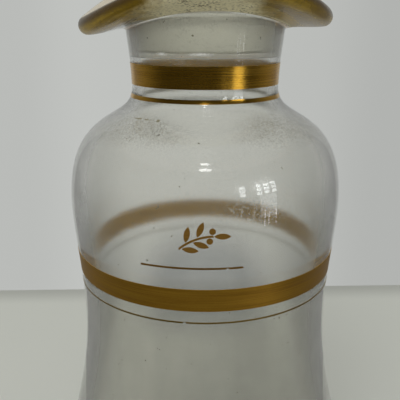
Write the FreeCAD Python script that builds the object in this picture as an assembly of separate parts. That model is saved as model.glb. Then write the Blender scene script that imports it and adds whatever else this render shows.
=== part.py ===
"""A blown glass table-oil bottle with a saddle-shaped pouring lip, fired gilding and a ground glass stopper.

Millimetres, +Z up, origin on the table under the bottle's axis. The front of the bottle faces -Y.
Heights are built up from the table: each rise is measured from the station below it.
"""
import FreeCAD, Part

import itertools
import math
import os

from FreeCAD import Vector

# Body: outer radii at the stations where the wall stands upright, and the rises between them
REST_RADIUS = 46.0
HEEL_RADIUS = 50.5
WAIST_RADIUS = 37.0
SHOULDER_RADIUS = 39.4
NECK_RADIUS = 20.8
HEEL_RISE = 6.5
WAIST_RISE = 74.7
SHOULDER_RISE = 35.2
NECK_RISE = 32.0

# Body: how far the wall keeps upright above and below each of those stations
HEEL_SWEEP = 20.0
WAIST_LOWER_SWEEP = 32.0
WAIST_UPPER_SWEEP = 15.3
SHOULDER_LOWER_SWEEP = 9.1
SHOULDER_UPPER_SWEEP = 27.6
NECK_LOWER_SWEEP = 10.6
NECK_UPPER_SWEEP = 3.0

# Glass thickness, and the dished underside with its polished mark
BODY_WALL = 4.0
NECK_WALL = 2.9
BASE_THICKNESS = 7.0
FLOOR_FILLET = 6.0
KICK_RADIUS = 40.5
KICK_DEPTH = 4.0
PONTIL_RADIUS = 11.0
PONTIL_DEPTH = 0.8

# Collar: the outward-leaning top of the neck, up to the crease where the lip turns out
COLLAR_SPREAD = 0.55
COLLAR_RISE = 8.6
COLLAR_SWEEP = 3.0
COLLAR_LEAN = 6.6
CREASE_RISE = 8.5
CREASE_SADDLE = 2.0

# Lip: a brim with a rolled edge, low at two sides and raised at the front and back
BRIM_REACH = 10.0
BRIM_RISE = 6.4
BRIM_SADDLE = 5.6
BRIM_SIDE_TILT = 0.7
BRIM_BACK_TILT = 3.6
BRIM_TURN = 5.0
BRIM_SAG = 15.0
BRIM_ROOT_SWEEP = 1.5
BRIM_EDGE_SWEEP = 5.0
ROLL_RADIUS = 2.3

# Seat ground into the collar, and the stopper that fits it
SEAT_GRIND = 0.4
PLUG_CLEARANCE = 0.2
PLUG_STEP = 1.2
PLUG_LENGTH = 9.0
PLUG_CHAMFER = 0.8
STEM_RADIUS = 8.0
STEM_RISE = 8.5
STEM_LOWER_SWEEP = 3.0
STEM_UPPER_SWEEP = 4.0
FINIAL_RADIUS = 17.0
FINIAL_RISE = 14.5
FINIAL_LOWER_SWEEP = 8.5
FINIAL_CROWN = 14.0

# Fired gilding: its raised thickness, and the hair gap that keeps it off the glass
GILT_THICKNESS = 0.12
GILT_GAP = 0.15
LIP_GILT_SETBACK = 1.2
MOUTH_GILT_SETBACK = 4.5
NECK_BAND_WIDTH = 5.8
NECK_BAND_RISE = 0.9
NECK_LINE_WIDTH = 1.1
NECK_LINE_DROP = 2.55
WAIST_BAND_WIDTH = 6.3
WAIST_BAND_RISE = 14.7
WAIST_LINE_WIDTH = 0.5
WAIST_LINE_DROP = 3.1
FINIAL_BAND_WIDTH = 4.6
FINIAL_LINE_WIDTH = 0.5
FINIAL_LINE_RISE = 1.8

# Painted panel on the front: an underline, and over it a small olive sprig
# Leaves and fruit are placed by a share of the stem's length and a side, 1 above and -1 below
UNDERLINE_RISE = 5.7
UNDERLINE_WIDTH = 0.5
UNDERLINE_LEFT_REACH = 16.6
UNDERLINE_RIGHT_REACH = 9.2
SPRIG_RISE = 6.6
SPRIG_SHIFT = -2.4
SPRIG_LENGTH = 8.4
SPRIG_CLIMB = 3.4
SPRIG_BOW = 0.9
STROKE_WIDTH = 0.55
STROKE_GAP = 0.15
LEAF_LENGTH = 4.1
LEAF_WIDTH = 1.5
LEAF_SPREAD = 46.0
LEAF_PLACES = ((0.18, 1), (0.50, 1), (0.02, -1), (0.34, -1))
OLIVE_RADIUS = 0.8
OLIVE_PLACES = ((0.97, 1), (0.88, -1))

# How finely the skins are laid out: round the axis, up the wall, out along the brim and along the gilding
RING_POINTS = 24
HEEL_STEPS = 4
FOOT_STEPS = 9
BELLY_STEPS = 5
SLOPE_STEPS = 11
THROAT_STEPS = 4
BRIM_STEPS = 12
GILT_STEPS = 10
QUARTER_ELLIPSE = 0.5523

# Heights of the stations above the table, and the collar's place
WAIST_HEIGHT = HEEL_RISE + WAIST_RISE
SHOULDER_HEIGHT = WAIST_HEIGHT + SHOULDER_RISE
NECK_HEIGHT = SHOULDER_HEIGHT + NECK_RISE
COLLAR_HEIGHT = NECK_HEIGHT + COLLAR_RISE
CREASE_HEIGHT = COLLAR_HEIGHT + CREASE_RISE
BRIM_HEIGHT = CREASE_HEIGHT + BRIM_RISE
COLLAR_RADIUS = NECK_RADIUS + COLLAR_SPREAD
COLLAR_SLOPE = math.tan(math.radians(COLLAR_LEAN))
BRIM_SHARES = [step / BRIM_STEPS for step in range(BRIM_STEPS)]

AXIS_POINT = Vector(0, 0, 0)
UP = Vector(0, 0, 1)
INWARDS = Vector(0, 1, 0)


# Curves in the section plane, where x is the radius and z the height

def bezier(*poles):
    """Cubic curve on poles given as (radius, height)."""
    curve = Part.BezierCurve()
    curve.setPoles([Vector(radius, 0, height) for radius, height in poles])
    return curve


def upright_stretch(start, end, start_sweep, end_sweep):
    """Curve between two stations that stands upright at both."""
    leave = (start[0], start[1] + start_sweep)
    arrive = (end[0], end[1] - end_sweep)
    return bezier(start, leave, arrive, end)


def line(start, end):
    """Straight edge between two (radius, height) pairs."""
    return Part.LineSegment(Vector(start[0], 0, start[1]), Vector(end[0], 0, end[1])).toShape()


def along(angle):
    """Unit vector in the section plane, at an angle in radians from the level."""
    return Vector(math.cos(angle), 0, math.sin(angle))


def place(curve, share):
    """Point and outward normal of a section curve at a share of its parameter."""
    tangent = curve.tangent(share)[0]
    return curve.value(share), Vector(tangent.z, 0, -tangent.x)


def share_at(curve, height):
    """Share of a rising curve's parameter at which it reaches a height."""
    low, high = 0.0, 1.0
    for _ in range(50):
        middle = (low + high) / 2
        if curve.value(middle).z < height:
            low = middle
        else:
            high = middle
    return (low + high) / 2


def radius_at(curves, height):
    """Radius of a profile, made of curves that rise one after another, at a height."""
    for curve in curves:
        if height <= curve.EndPoint.z:
            break
    return curve.value(share_at(curve, height)).x


# The bottle's wall

def body_curves():
    """Outer profile from the resting ring up to the collar."""
    round_out = QUARTER_ELLIPSE * (HEEL_RADIUS - REST_RADIUS)
    round_up = QUARTER_ELLIPSE * HEEL_RISE
    rest = (REST_RADIUS, 0)
    heel = (HEEL_RADIUS, HEEL_RISE)
    waist = (WAIST_RADIUS, WAIST_HEIGHT)
    shoulder = (SHOULDER_RADIUS, SHOULDER_HEIGHT)
    neck = (NECK_RADIUS, NECK_HEIGHT)
    neck_above = (NECK_RADIUS, NECK_HEIGHT + NECK_UPPER_SWEEP)
    collar = (COLLAR_RADIUS, COLLAR_HEIGHT)
    collar_below = (COLLAR_RADIUS - COLLAR_SWEEP * COLLAR_SLOPE, COLLAR_HEIGHT - COLLAR_SWEEP)
    return [
        bezier(rest, (REST_RADIUS + round_out, 0), (HEEL_RADIUS, HEEL_RISE - round_up), heel),
        upright_stretch(heel, waist, HEEL_SWEEP, WAIST_LOWER_SWEEP),
        upright_stretch(waist, shoulder, WAIST_UPPER_SWEEP, SHOULDER_LOWER_SWEEP),
        upright_stretch(shoulder, neck, SHOULDER_UPPER_SWEEP, NECK_LOWER_SWEEP),
        bezier(neck, neck_above, collar_below, collar),
    ]


def wall_plan():
    """Each curve of the outer profile with its number of steps and the wall's thickness at its two ends."""
    heel_turn, foot, belly, slope, throat = body_curves()
    return (
        (heel_turn, HEEL_STEPS, BODY_WALL, BODY_WALL),
        (foot, FOOT_STEPS, BODY_WALL, BODY_WALL),
        (belly, BELLY_STEPS, BODY_WALL, BODY_WALL),
        (slope, SLOPE_STEPS, BODY_WALL, NECK_WALL),
        (throat, THROAT_STEPS, NECK_WALL, NECK_WALL),
    )


def wall_marks():
    """How many steps lead from the resting ring to the end of each curve of the outer profile."""
    return list(itertools.accumulate(steps for curve, steps, *thickness in wall_plan()))


def wall_stations():
    """Stations of the wall as (point, outward normal, thickness), from the resting ring up to the collar."""
    stations = []
    for curve, steps, thickness_from, thickness_to in wall_plan():
        for step in range(steps):
            share = step / steps
            stations.append((*place(curve, share), thickness_from + (thickness_to - thickness_from) * share))
    stations.append((*place(curve, 1.0), thickness_to))
    return stations


def floor_points():
    """Inside of the base, from the wall round the fillet to the flat floor."""
    foot = body_curves()[1]
    point, normal = place(foot, share_at(foot, BASE_THICKNESS + FLOOR_FILLET))
    wall = point - normal * BODY_WALL
    centre = Vector(wall.x - FLOOR_FILLET, 0, BASE_THICKNESS + FLOOR_FILLET)
    return [centre + along(math.radians(turn)) * FLOOR_FILLET for turn in (0, -30, -60, -90)]


# The lip, whose section changes with the angle round the axis

def saddle(angle):
    """Wave that is highest at the lip's two low sides, a little turned from left and right."""
    return math.cos(2 * (angle - math.radians(BRIM_TURN)))


def crease_point(angle):
    """Where the collar ends and the lip turns out."""
    height = CREASE_HEIGHT - CREASE_SADDLE * saddle(angle)
    return Vector(COLLAR_RADIUS + (height - COLLAR_HEIGHT) * COLLAR_SLOPE, 0, height)


def roll_centre(angle):
    """Centre of the rolled edge."""
    tilt = BRIM_SIDE_TILT * math.cos(angle) + BRIM_BACK_TILT * math.sin(angle)
    radius = COLLAR_RADIUS + (CREASE_HEIGHT - COLLAR_HEIGHT) * COLLAR_SLOPE + BRIM_REACH
    return Vector(radius, 0, BRIM_HEIGHT - BRIM_SADDLE * saddle(angle) + tilt)


def brim_direction(angle):
    """Angle from the level at which the brim runs into its rolled edge."""
    chord = roll_centre(angle) - crease_point(angle)
    return math.atan2(chord.z, chord.x) - math.radians(BRIM_SAG)


def brim_curve(angle):
    """Underside of the lip from the crease to the rolled edge."""
    start = crease_point(angle)
    direction = brim_direction(angle)
    end = roll_centre(angle) + along(direction - math.pi / 2) * ROLL_RADIUS
    leave = start + Vector(COLLAR_SLOPE, 0, 1) * BRIM_ROOT_SWEEP
    arrive = end - along(direction) * BRIM_EDGE_SWEEP
    return bezier(*[(point.x, point.z) for point in (start, leave, arrive, end)])


def under_skin(angle, shares):
    """Points and outward normals on the lip's underside, at shares of the way out."""
    curve = brim_curve(angle)
    return [place(curve, share) for share in shares]


def upper_skin(angle, shares):
    """Points and outward normals on the lip's upper side, which thickens from the neck's wall to the roll."""
    skin = []
    for share, (point, normal) in zip(shares, under_skin(angle, shares)):
        thickness = NECK_WALL + (2 * ROLL_RADIUS - NECK_WALL) * share
        skin.append((point - normal * thickness, normal * -1))
    return skin


def roll_skin(angle):
    """Points and outward normals round the rolled edge, from under the brim to its top."""
    turns = [brim_direction(angle) + math.radians(turn) for turn in (-90, -45, 0, 45, 90)]
    return [(roll_centre(angle) + along(turn) * ROLL_RADIUS, along(turn)) for turn in turns]


# Skins laid round the axis through sections

def ring_angles():
    """Angles round the axis at which the skins are laid out."""
    return [2 * math.pi * step / RING_POINTS for step in range(RING_POINTS)]


def run_lengths(sections):
    """Mean distance along the sections, from their first points to each of their points."""
    lengths = [0.0]
    for index in range(1, len(sections[0])):
        steps = [section[index].distanceToPoint(section[index - 1]) for section in sections]
        lengths.append(lengths[-1] + sum(steps) / len(steps))
    return lengths


def turned_ring(points):
    """Closed smooth curve round the axis through one section point for each ring angle."""
    spots = []
    for angle, point in zip(ring_angles(), points):
        spots.append(Vector(point.x * math.cos(angle), point.x * math.sin(angle), point.z))
    ring = Part.BSplineCurve()
    ring.interpolate(Points=spots, Parameters=list(range(RING_POINTS + 1)), PeriodicFlag=True)
    return ring


def swept_face(curves):
    """Smooth face round the axis through one like section curve for each ring angle."""
    columns = [turned_ring(poles) for poles in zip(*[curve.getPoles() for curve in curves])]
    ring, run = columns[0], curves[0]
    surface = Part.BSplineSurface()
    surface.buildFromPolesMultsKnots(
        list(zip(*[column.getPoles() for column in columns])),
        ring.getMultiplicities(),
        run.getMultiplicities(),
        ring.getKnots(),
        run.getKnots(),
        True,
        False,
        ring.Degree,
        run.Degree,
    )
    return surface.toShape()


def skin_faces(sections, splits=()):
    """Faces of one smooth skin through sections of like points, parted at the points that splits count to."""
    lengths = run_lengths(sections)
    stops = [lengths[0]] + [lengths[split] for split in splits] + [lengths[-1]]
    faces = []
    for low, high in zip(stops, stops[1:]):
        curves = []
        for section in sections:
            curve = Part.BSplineCurve()
            curve.interpolate(Points=section, Parameters=lengths)
            curve.segment(low, high)
            curves.append(curve)
        faces.append(swept_face(curves))
    return faces


def end_ring(sections, index):
    """Edge round the axis through the points that the sections hold at an index."""
    return turned_ring([section[index] for section in sections]).toShape()


def closed_solid(faces):
    """Solid from faces that meet edge to edge, with its skin facing outwards."""
    skin = Part.makeCompound(faces)
    skin.sewShape()
    solid = Part.Solid(Part.Shell(skin.Faces))
    if solid.Volume < 0:
        solid.reverse()
    return solid


def revolve(edges):
    """Solid of revolution about the axis from the edges of a closed half section."""
    face = Part.Face(Part.Wire(Part.__sortEdges__(edges)))
    return face.revolve(AXIS_POINT, UP, 360)


# The glass bottle

def dish(radius, depth, height):
    """Shallow round dish of a sphere, with its rim at a height and its crown a depth above that."""
    ball_radius = (radius ** 2 + depth ** 2) / (2 * depth)
    ball = Part.makeSphere(ball_radius, Vector(0, 0, height + depth - ball_radius))
    return ball.common(Part.makeCylinder(radius, 2 * depth, Vector(0, 0, height)))


def seat_radius(height):
    """Radius of the ground seat, a cone that runs parallel to the collar."""
    return COLLAR_RADIUS - NECK_WALL + SEAT_GRIND + (height - COLLAR_HEIGHT) * COLLAR_SLOPE


def glass_section(angle):
    """Points of the glass at an angle: up the outside, over the lip and down the inside to the floor."""
    stations = wall_stations()
    floor = floor_points()
    clear_height = floor[0].z + FLOOR_FILLET / 2
    outside = [point for point, normal, thickness in stations]
    inside = [point - normal * thickness for point, normal, thickness in reversed(stations)]
    inside = [point for point in inside if point.z > clear_height]
    lip = under_skin(angle, BRIM_SHARES) + roll_skin(angle) + upper_skin(angle, BRIM_SHARES[::-1])
    return outside + [point for point, normal in lip] + inside + floor


def make_glass_bottle():
    """The one blown piece: body, neck and lip, with its seat ground and its underside dished."""
    sections = [glass_section(angle) for angle in ring_angles()]
    outer_marks = wall_marks()
    inner_collar = outer_marks[-1] + 2 * len(BRIM_SHARES) + len(roll_skin(0)) + 1
    faces = skin_faces(sections, (*outer_marks, inner_collar))
    for end in (0, -1):
        faces.append(Part.Face(Part.Wire([end_ring(sections, end)])))
    glass = closed_solid(faces)

    seat_foot = Vector(0, 0, COLLAR_HEIGHT)
    seat_depth = BRIM_HEIGHT - COLLAR_HEIGHT
    seat = Part.makeCone(seat_radius(COLLAR_HEIGHT), seat_radius(BRIM_HEIGHT), seat_depth, seat_foot)
    pontil_height = KICK_DEPTH * (1 - (PONTIL_RADIUS / KICK_RADIUS) ** 2)
    pontil_depth = KICK_DEPTH - pontil_height + PONTIL_DEPTH
    kick = dish(KICK_RADIUS, KICK_DEPTH, 0)
    pontil = dish(PONTIL_RADIUS, pontil_depth, pontil_height)
    return glass.cut([seat, kick, pontil]).Solids[0]


# The gilding

def gilt_shares(angle, setback):
    """Shares of the way out along the brim, from a setback past the crease to just short of the roll."""
    first = brim_curve(angle).parameterAtDistance(setback, 0)
    return [first + (1 - first) * step / GILT_STEPS for step in range(GILT_STEPS)]


def lip_gilt_section(angle, offset):
    """Points a little off the lip: out along its underside, round the roll and back along its upper side."""
    skin = under_skin(angle, gilt_shares(angle, LIP_GILT_SETBACK))
    skin = skin + roll_skin(angle)
    skin = skin + upper_skin(angle, gilt_shares(angle, MOUTH_GILT_SETBACK)[::-1])
    return [point + normal * offset for point, normal in skin]


def make_lip_gilding():
    """Gilding that wraps the lip from the crease, round the rolled edge and into the mouth."""
    inner = [lip_gilt_section(angle, GILT_GAP) for angle in ring_angles()]
    outer = [lip_gilt_section(angle, GILT_GAP + GILT_THICKNESS) for angle in ring_angles()]
    faces = skin_faces(inner) + skin_faces(outer)
    for end in (0, -1):
        faces.append(Part.makeRuledSurface(end_ring(inner, end), end_ring(outer, end)))
    return closed_solid(faces)


def gilt_strip(curves, low, width):
    """Edges of the half section of a strip of gilding that follows a profile upwards from a height."""
    heights = [low + width * step / GILT_STEPS for step in range(GILT_STEPS + 1)]
    edges = []
    ends = []
    for offset in (GILT_GAP, GILT_GAP + GILT_THICKNESS):
        points = [Vector(radius_at(curves, height) + offset, 0, height) for height in heights]
        curve = Part.BSplineCurve()
        curve.interpolate(points)
        edges.append(curve.toShape())
        ends.append((points[0], points[-1]))
    for inner, outer in zip(*ends):
        edges.append(Part.LineSegment(inner, outer).toShape())
    return edges


def gilt_ring(curves, low, width):
    """Gilt band or line right round a profile, from a height upwards."""
    return revolve(gilt_strip(curves, low, width))


def gilt_front_line(curves, low, width, left_reach, right_reach):
    """Gilt line on the front only, as far round to the left and right of the middle as its reaches say."""
    left_angle = math.degrees(left_reach / radius_at(curves, low))
    right_angle = math.degrees(right_reach / radius_at(curves, low))
    face = Part.Face(Part.Wire(Part.__sortEdges__(gilt_strip(curves, low, width))))
    face.rotate(AXIS_POINT, UP, -90 - left_angle)
    return face.revolve(AXIS_POINT, UP, left_angle + right_angle)


# The sprig, laid out flat as seen from the front and then pressed on to the glass

def stem_point(share):
    """Point of the sprig's bowed stem, from the sprig's centre, at a share of its length."""
    rise = SPRIG_CLIMB * (share - 0.5) + SPRIG_BOW * 4 * share * (1 - share)
    return Vector(SPRIG_SHIFT + SPRIG_LENGTH * (share - 0.5), 0, rise)


def stem_heading(share):
    """Direction of the stem, as an angle from the level, at a share of its length."""
    return math.atan2(SPRIG_CLIMB + SPRIG_BOW * 4 * (1 - 2 * share), SPRIG_LENGTH)


def outline_arc(start, middle, end):
    """Edge of an arc through three points."""
    return Part.Arc(start, middle, end).toShape()


def stem_face():
    """The stem as one brush stroke of even width."""
    start, middle, end = [stem_point(share) for share in (0, 0.5, 1)]
    across = along(stem_heading(0.5) + math.pi / 2) * (STROKE_WIDTH / 2)
    return Part.Face(Part.Wire([
        outline_arc(start + across, middle + across, end + across),
        Part.LineSegment(end + across, end - across).toShape(),
        outline_arc(end - across, middle - across, start - across),
        Part.LineSegment(start - across, start + across).toShape(),
    ]))


def leaf_face(root, heading):
    """Pointed leaf of two arcs, from its root along a heading."""
    tip = root + along(heading) * LEAF_LENGTH
    middle = (root + tip) / 2
    across = along(heading + math.pi / 2) * (LEAF_WIDTH / 2)
    upper = outline_arc(root, middle + across, tip)
    lower = outline_arc(tip, middle - across, root)
    return Part.Face(Part.Wire([upper, lower]))


def leaf_faces():
    """Leaves on both sides of the stem, and one at its tip."""
    spread = math.radians(LEAF_SPREAD)
    clear = (STROKE_WIDTH / 2 + STROKE_GAP) / math.sin(spread)
    faces = []
    for share, side in LEAF_PLACES:
        heading = stem_heading(share) + side * spread
        faces.append(leaf_face(stem_point(share) + along(heading) * clear, heading))
    tip_heading = stem_heading(1)
    faces.append(leaf_face(stem_point(1) + along(tip_heading) * STROKE_GAP, tip_heading))
    return faces


def olive_faces():
    """Round fruit beside the stem, each a hair off it."""
    clear = STROKE_WIDTH / 2 + STROKE_GAP + OLIVE_RADIUS
    faces = []
    for share, side in OLIVE_PLACES:
        centre = stem_point(share) + along(stem_heading(share) + side * math.pi / 2) * clear
        faces.append(Part.Face(Part.Wire([Part.Circle(centre, INWARDS, OLIVE_RADIUS).toShape()])))
    return faces


def lay_on(skin, faces, height):
    """Flat shapes pressed straight back on to a thin skin round the bottle, with their centre at a height."""
    solids = []
    for face in faces:
        block = face.extrude(INWARDS * (2 * SHOULDER_RADIUS))
        block.translate(Vector(0, -2 * SHOULDER_RADIUS, height))
        solids = solids + skin.common(block).Solids
    return Part.makeCompound(solids)


# The stopper

def stopper_curves(plug_top):
    """Outer profile of the stopper above its plug: in to the stem, out to the finial and over its crown."""
    shoulder = (seat_radius(plug_top) - PLUG_CLEARANCE, plug_top)
    stem = (STEM_RADIUS, plug_top + STEM_RISE)
    equator = (FINIAL_RADIUS, stem[1] + FINIAL_RISE)
    crown = (0, equator[1] + FINIAL_CROWN)
    round_up = (FINIAL_RADIUS, equator[1] + QUARTER_ELLIPSE * FINIAL_CROWN)
    round_in = (QUARTER_ELLIPSE * FINIAL_RADIUS, crown[1])
    return [
        upright_stretch(shoulder, stem, STEM_LOWER_SWEEP, STEM_LOWER_SWEEP),
        upright_stretch(stem, equator, STEM_UPPER_SWEEP, FINIAL_LOWER_SWEEP),
        bezier(equator, round_up, round_in, crown),
    ]


def make_stopper(plug_foot, plug_top):
    """Solid glass stopper: a ground plug that fits the seat, a stem and a round finial."""
    curves = stopper_curves(plug_top)
    crown = (0, curves[-1].EndPoint.z)
    cone_foot = plug_foot + PLUG_CHAMFER
    foot_centre = (0, plug_foot)
    foot_edge = (seat_radius(plug_foot) - PLUG_CLEARANCE - PLUG_CHAMFER, plug_foot)
    cone_start = (seat_radius(cone_foot) - PLUG_CLEARANCE, cone_foot)
    cone_end = (seat_radius(plug_top) - PLUG_CLEARANCE, plug_top)
    corners = (crown, foot_centre, foot_edge, cone_start, cone_end)
    edges = [line(start, end) for start, end in zip(corners, corners[1:])]
    return revolve(edges + [curve.toShape() for curve in curves])


def main():
    body = body_curves()
    neck_band_low = NECK_HEIGHT + NECK_BAND_RISE
    neck_line_low = neck_band_low - NECK_LINE_DROP - NECK_LINE_WIDTH
    waist_band_low = WAIST_HEIGHT + WAIST_BAND_RISE
    waist_line_low = waist_band_low - WAIST_LINE_DROP - WAIST_LINE_WIDTH
    underline_low = waist_band_low + WAIST_BAND_WIDTH + UNDERLINE_RISE
    underline = (underline_low, UNDERLINE_WIDTH, UNDERLINE_LEFT_REACH, UNDERLINE_RIGHT_REACH)

    sprig_height = underline_low + UNDERLINE_WIDTH + SPRIG_RISE
    panel_reach = SPRIG_CLIMB / 2 + SPRIG_BOW + LEAF_LENGTH + STROKE_WIDTH + STROKE_GAP
    panel = gilt_ring(body, sprig_height - panel_reach, 2 * panel_reach)

    plug_foot = COLLAR_HEIGHT + PLUG_STEP
    plug_top = plug_foot + PLUG_LENGTH
    finial = stopper_curves(plug_top)
    finial_band_low = plug_top + STEM_RISE + FINIAL_RISE - FINIAL_BAND_WIDTH / 2
    finial_line_low = finial_band_low + FINIAL_BAND_WIDTH + FINIAL_LINE_RISE

    pieces = {
        "glass_bottle": make_glass_bottle(),
        "lip_gilding": make_lip_gilding(),
        "neck_gilt_band": gilt_ring(body, neck_band_low, NECK_BAND_WIDTH),
        "neck_gilt_line": gilt_ring(body, neck_line_low, NECK_LINE_WIDTH),
        "waist_gilt_band": gilt_ring(body, waist_band_low, WAIST_BAND_WIDTH),
        "waist_gilt_line": gilt_ring(body, waist_line_low, WAIST_LINE_WIDTH),
        "panel_underline": gilt_front_line(body, *underline),
        "sprig_stem": lay_on(panel, [stem_face()], sprig_height),
        "sprig_leaves": lay_on(panel, leaf_faces(), sprig_height),
        "sprig_olives": lay_on(panel, olive_faces(), sprig_height),
        "stopper": make_stopper(plug_foot, plug_top),
        "stopper_gilt_band": gilt_ring(finial, finial_band_low, FINIAL_BAND_WIDTH),
        "stopper_gilt_line": gilt_ring(finial, finial_line_low, FINIAL_LINE_WIDTH),
    }
    os.makedirs("parts", exist_ok=True)
    for name, shape in pieces.items():
        shape.exportStep(os.path.join("parts", name + ".step"))
        print(name, len(shape.Solids), shape.isValid(), round(shape.Volume, 2), shape.BoundBox)


main()
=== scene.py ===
"""Looks of a blown glass table-oil bottle: hazy glass, fired gilding, a ground stopper and a pale table.

Laid out as an add-on, with settings, an operator for each group of pieces, a panel and a main function.
Metres, +Z up, the bottle's front towards -Y. Sizes of the pieces are written in millimetres and turned to
metres by MM, and the lights are written in metres.
"""
import math

import bpy
from bpy.props import FloatProperty, FloatVectorProperty, IntProperty, PointerProperty
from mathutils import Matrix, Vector


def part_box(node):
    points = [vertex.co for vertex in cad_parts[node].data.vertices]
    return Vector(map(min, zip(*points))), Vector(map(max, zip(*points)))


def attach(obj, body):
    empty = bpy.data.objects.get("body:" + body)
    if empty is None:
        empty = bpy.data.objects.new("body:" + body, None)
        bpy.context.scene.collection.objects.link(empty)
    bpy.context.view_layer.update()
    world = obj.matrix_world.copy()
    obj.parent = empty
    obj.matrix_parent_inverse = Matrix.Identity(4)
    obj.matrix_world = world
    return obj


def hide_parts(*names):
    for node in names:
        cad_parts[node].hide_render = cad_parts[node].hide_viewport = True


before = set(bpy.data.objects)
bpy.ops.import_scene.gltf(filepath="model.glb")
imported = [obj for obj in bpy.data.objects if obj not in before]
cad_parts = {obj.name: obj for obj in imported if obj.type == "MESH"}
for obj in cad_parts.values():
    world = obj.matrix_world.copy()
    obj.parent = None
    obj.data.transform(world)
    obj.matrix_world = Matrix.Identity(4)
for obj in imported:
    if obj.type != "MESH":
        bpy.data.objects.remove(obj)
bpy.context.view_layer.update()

bl_info = {
    "name": "Gilt glass oil bottle",
    "version": (1, 0, 0),
    "blender": (4, 5, 0),
    "location": "View3D > Sidebar > Oil bottle",
    "description": "Builds the looks of a gilt glass oil bottle round its packed frame",
    "category": "Object",
}

MM = 0.001

# How far the poles of a cubic curve reach to make it a quarter of an ellipse
QUARTER_ELLIPSE = 0.5523

# Faces along the short stretches of the sections, and the turns of the plug's rounded foot in degrees
PONTIL_STEPS = 6
KICK_STEPS = 10
FILLET_STEPS = 8
FLOOR_STEPS = 4
SEAT_STEPS = 6
FROST_ABOVE_SEAT = 3
PLUG_FOOT_STEPS = 4
PLUG_STEPS = 9
CHAMFER_TURNS = (-90, -67, -45, -22)

# How finely a height or a length is searched for along a curve
HALVINGS = 40
SEARCH_STEP = 0.002

# Points that are closer are merged, and edges that bend more are shaded sharp
MERGE_DISTANCE = 0.001 * MM
SHARP_ANGLE = math.radians(40)

# How far past the tip of the lip the inside of the glass starts, and is wholly inside
INSIDE_FROM = 4 * MM
INSIDE_TO = 8 * MM

# Sockets of the node that mixes two colours
MIX_SHARE, MIX_FIRST, MIX_SECOND, MIX_COLOUR = 0, 6, 7, 2


# Settings

def length(name, description, millimetres):
    """Length setting, given in millimetres and kept in metres."""
    return FloatProperty(name=name, description=description, default=millimetres * MM, subtype="DISTANCE",
                         unit="LENGTH", precision=5)


def angle(name, description, degrees):
    """Angle setting, given in degrees and kept in radians."""
    return FloatProperty(name=name, description=description, default=math.radians(degrees), subtype="ANGLE",
                         unit="ROTATION")


def share(name, description, value):
    """Setting from 0 to 1."""
    return FloatProperty(name=name, description=description, default=value, min=0.0, max=1.0,
                         subtype="FACTOR")


def amount(name, description, value):
    """Plain number setting."""
    return FloatProperty(name=name, description=description, default=value)


def count(name, description, value):
    """Whole number setting."""
    return IntProperty(name=name, description=description, default=value, min=1)


def colour(name, description, *rgb):
    """Colour setting, in linear red, green and blue."""
    return FloatVectorProperty(name=name, description=description, default=rgb, size=3, min=0.0, max=1.0,
                               subtype="COLOR")


class BodySettings(bpy.types.PropertyGroup):
    """Sizes of the blown glass below its lip."""
    rest_radius: length("Rest radius", "Outer radius of the resting ring", 46.0)
    heel_radius: length("Heel radius", "Outer radius where the wall turns up from the base", 50.5)
    waist_radius: length("Waist radius", "Outer radius at the waist", 37.0)
    shoulder_radius: length("Shoulder radius", "Outer radius at the shoulder", 39.4)
    neck_radius: length("Neck radius", "Outer radius at the neck's narrowest", 20.8)
    heel_height: length("Heel height", "Height of the heel's widest point", 6.5)
    waist_height: length("Waist height", "Height of the waist", 81.2)
    shoulder_height: length("Shoulder height", "Height of the shoulder's widest point", 116.4)
    neck_height: length("Neck height", "Height of the neck's narrowest point", 148.4)
    heel_sweep: length("Heel sweep", "Upright stretch above the heel", 20.0)
    waist_lower_sweep: length("Waist lower sweep", "Upright stretch below the waist", 32.0)
    waist_upper_sweep: length("Waist upper sweep", "Upright stretch above the waist", 15.3)
    shoulder_lower_sweep: length("Shoulder lower sweep", "Upright stretch below the shoulder", 9.1)
    shoulder_upper_sweep: length("Shoulder upper sweep", "Upright stretch above the shoulder", 27.6)
    neck_lower_sweep: length("Neck lower sweep", "Upright stretch below the neck", 10.6)
    neck_upper_sweep: length("Neck upper sweep", "Upright stretch above the neck", 3.0)
    body_wall: length("Body wall", "Thickness of the glass in the body", 4.0)
    neck_wall: length("Neck wall", "Thickness of the glass in the neck", 2.9)
    base_thickness: length("Base thickness", "Height of the inner floor above the table", 7.0)
    floor_fillet: length("Floor fillet", "Radius between the inner floor and the wall", 6.0)
    kick_radius: length("Kick radius", "Radius of the dished underside", 40.5)
    kick_depth: length("Kick depth", "Depth of the dished underside", 4.0)
    pontil_radius: length("Pontil radius", "Radius of the polished mark under the base", 11.0)
    pontil_depth: length("Pontil depth", "Extra depth of the polished mark", 0.8)
    steps_round: count("Steps round", "Faces round the axis", 224)
    curve_steps: count("Curve steps", "Faces along each curve of the profile", 22)


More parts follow.
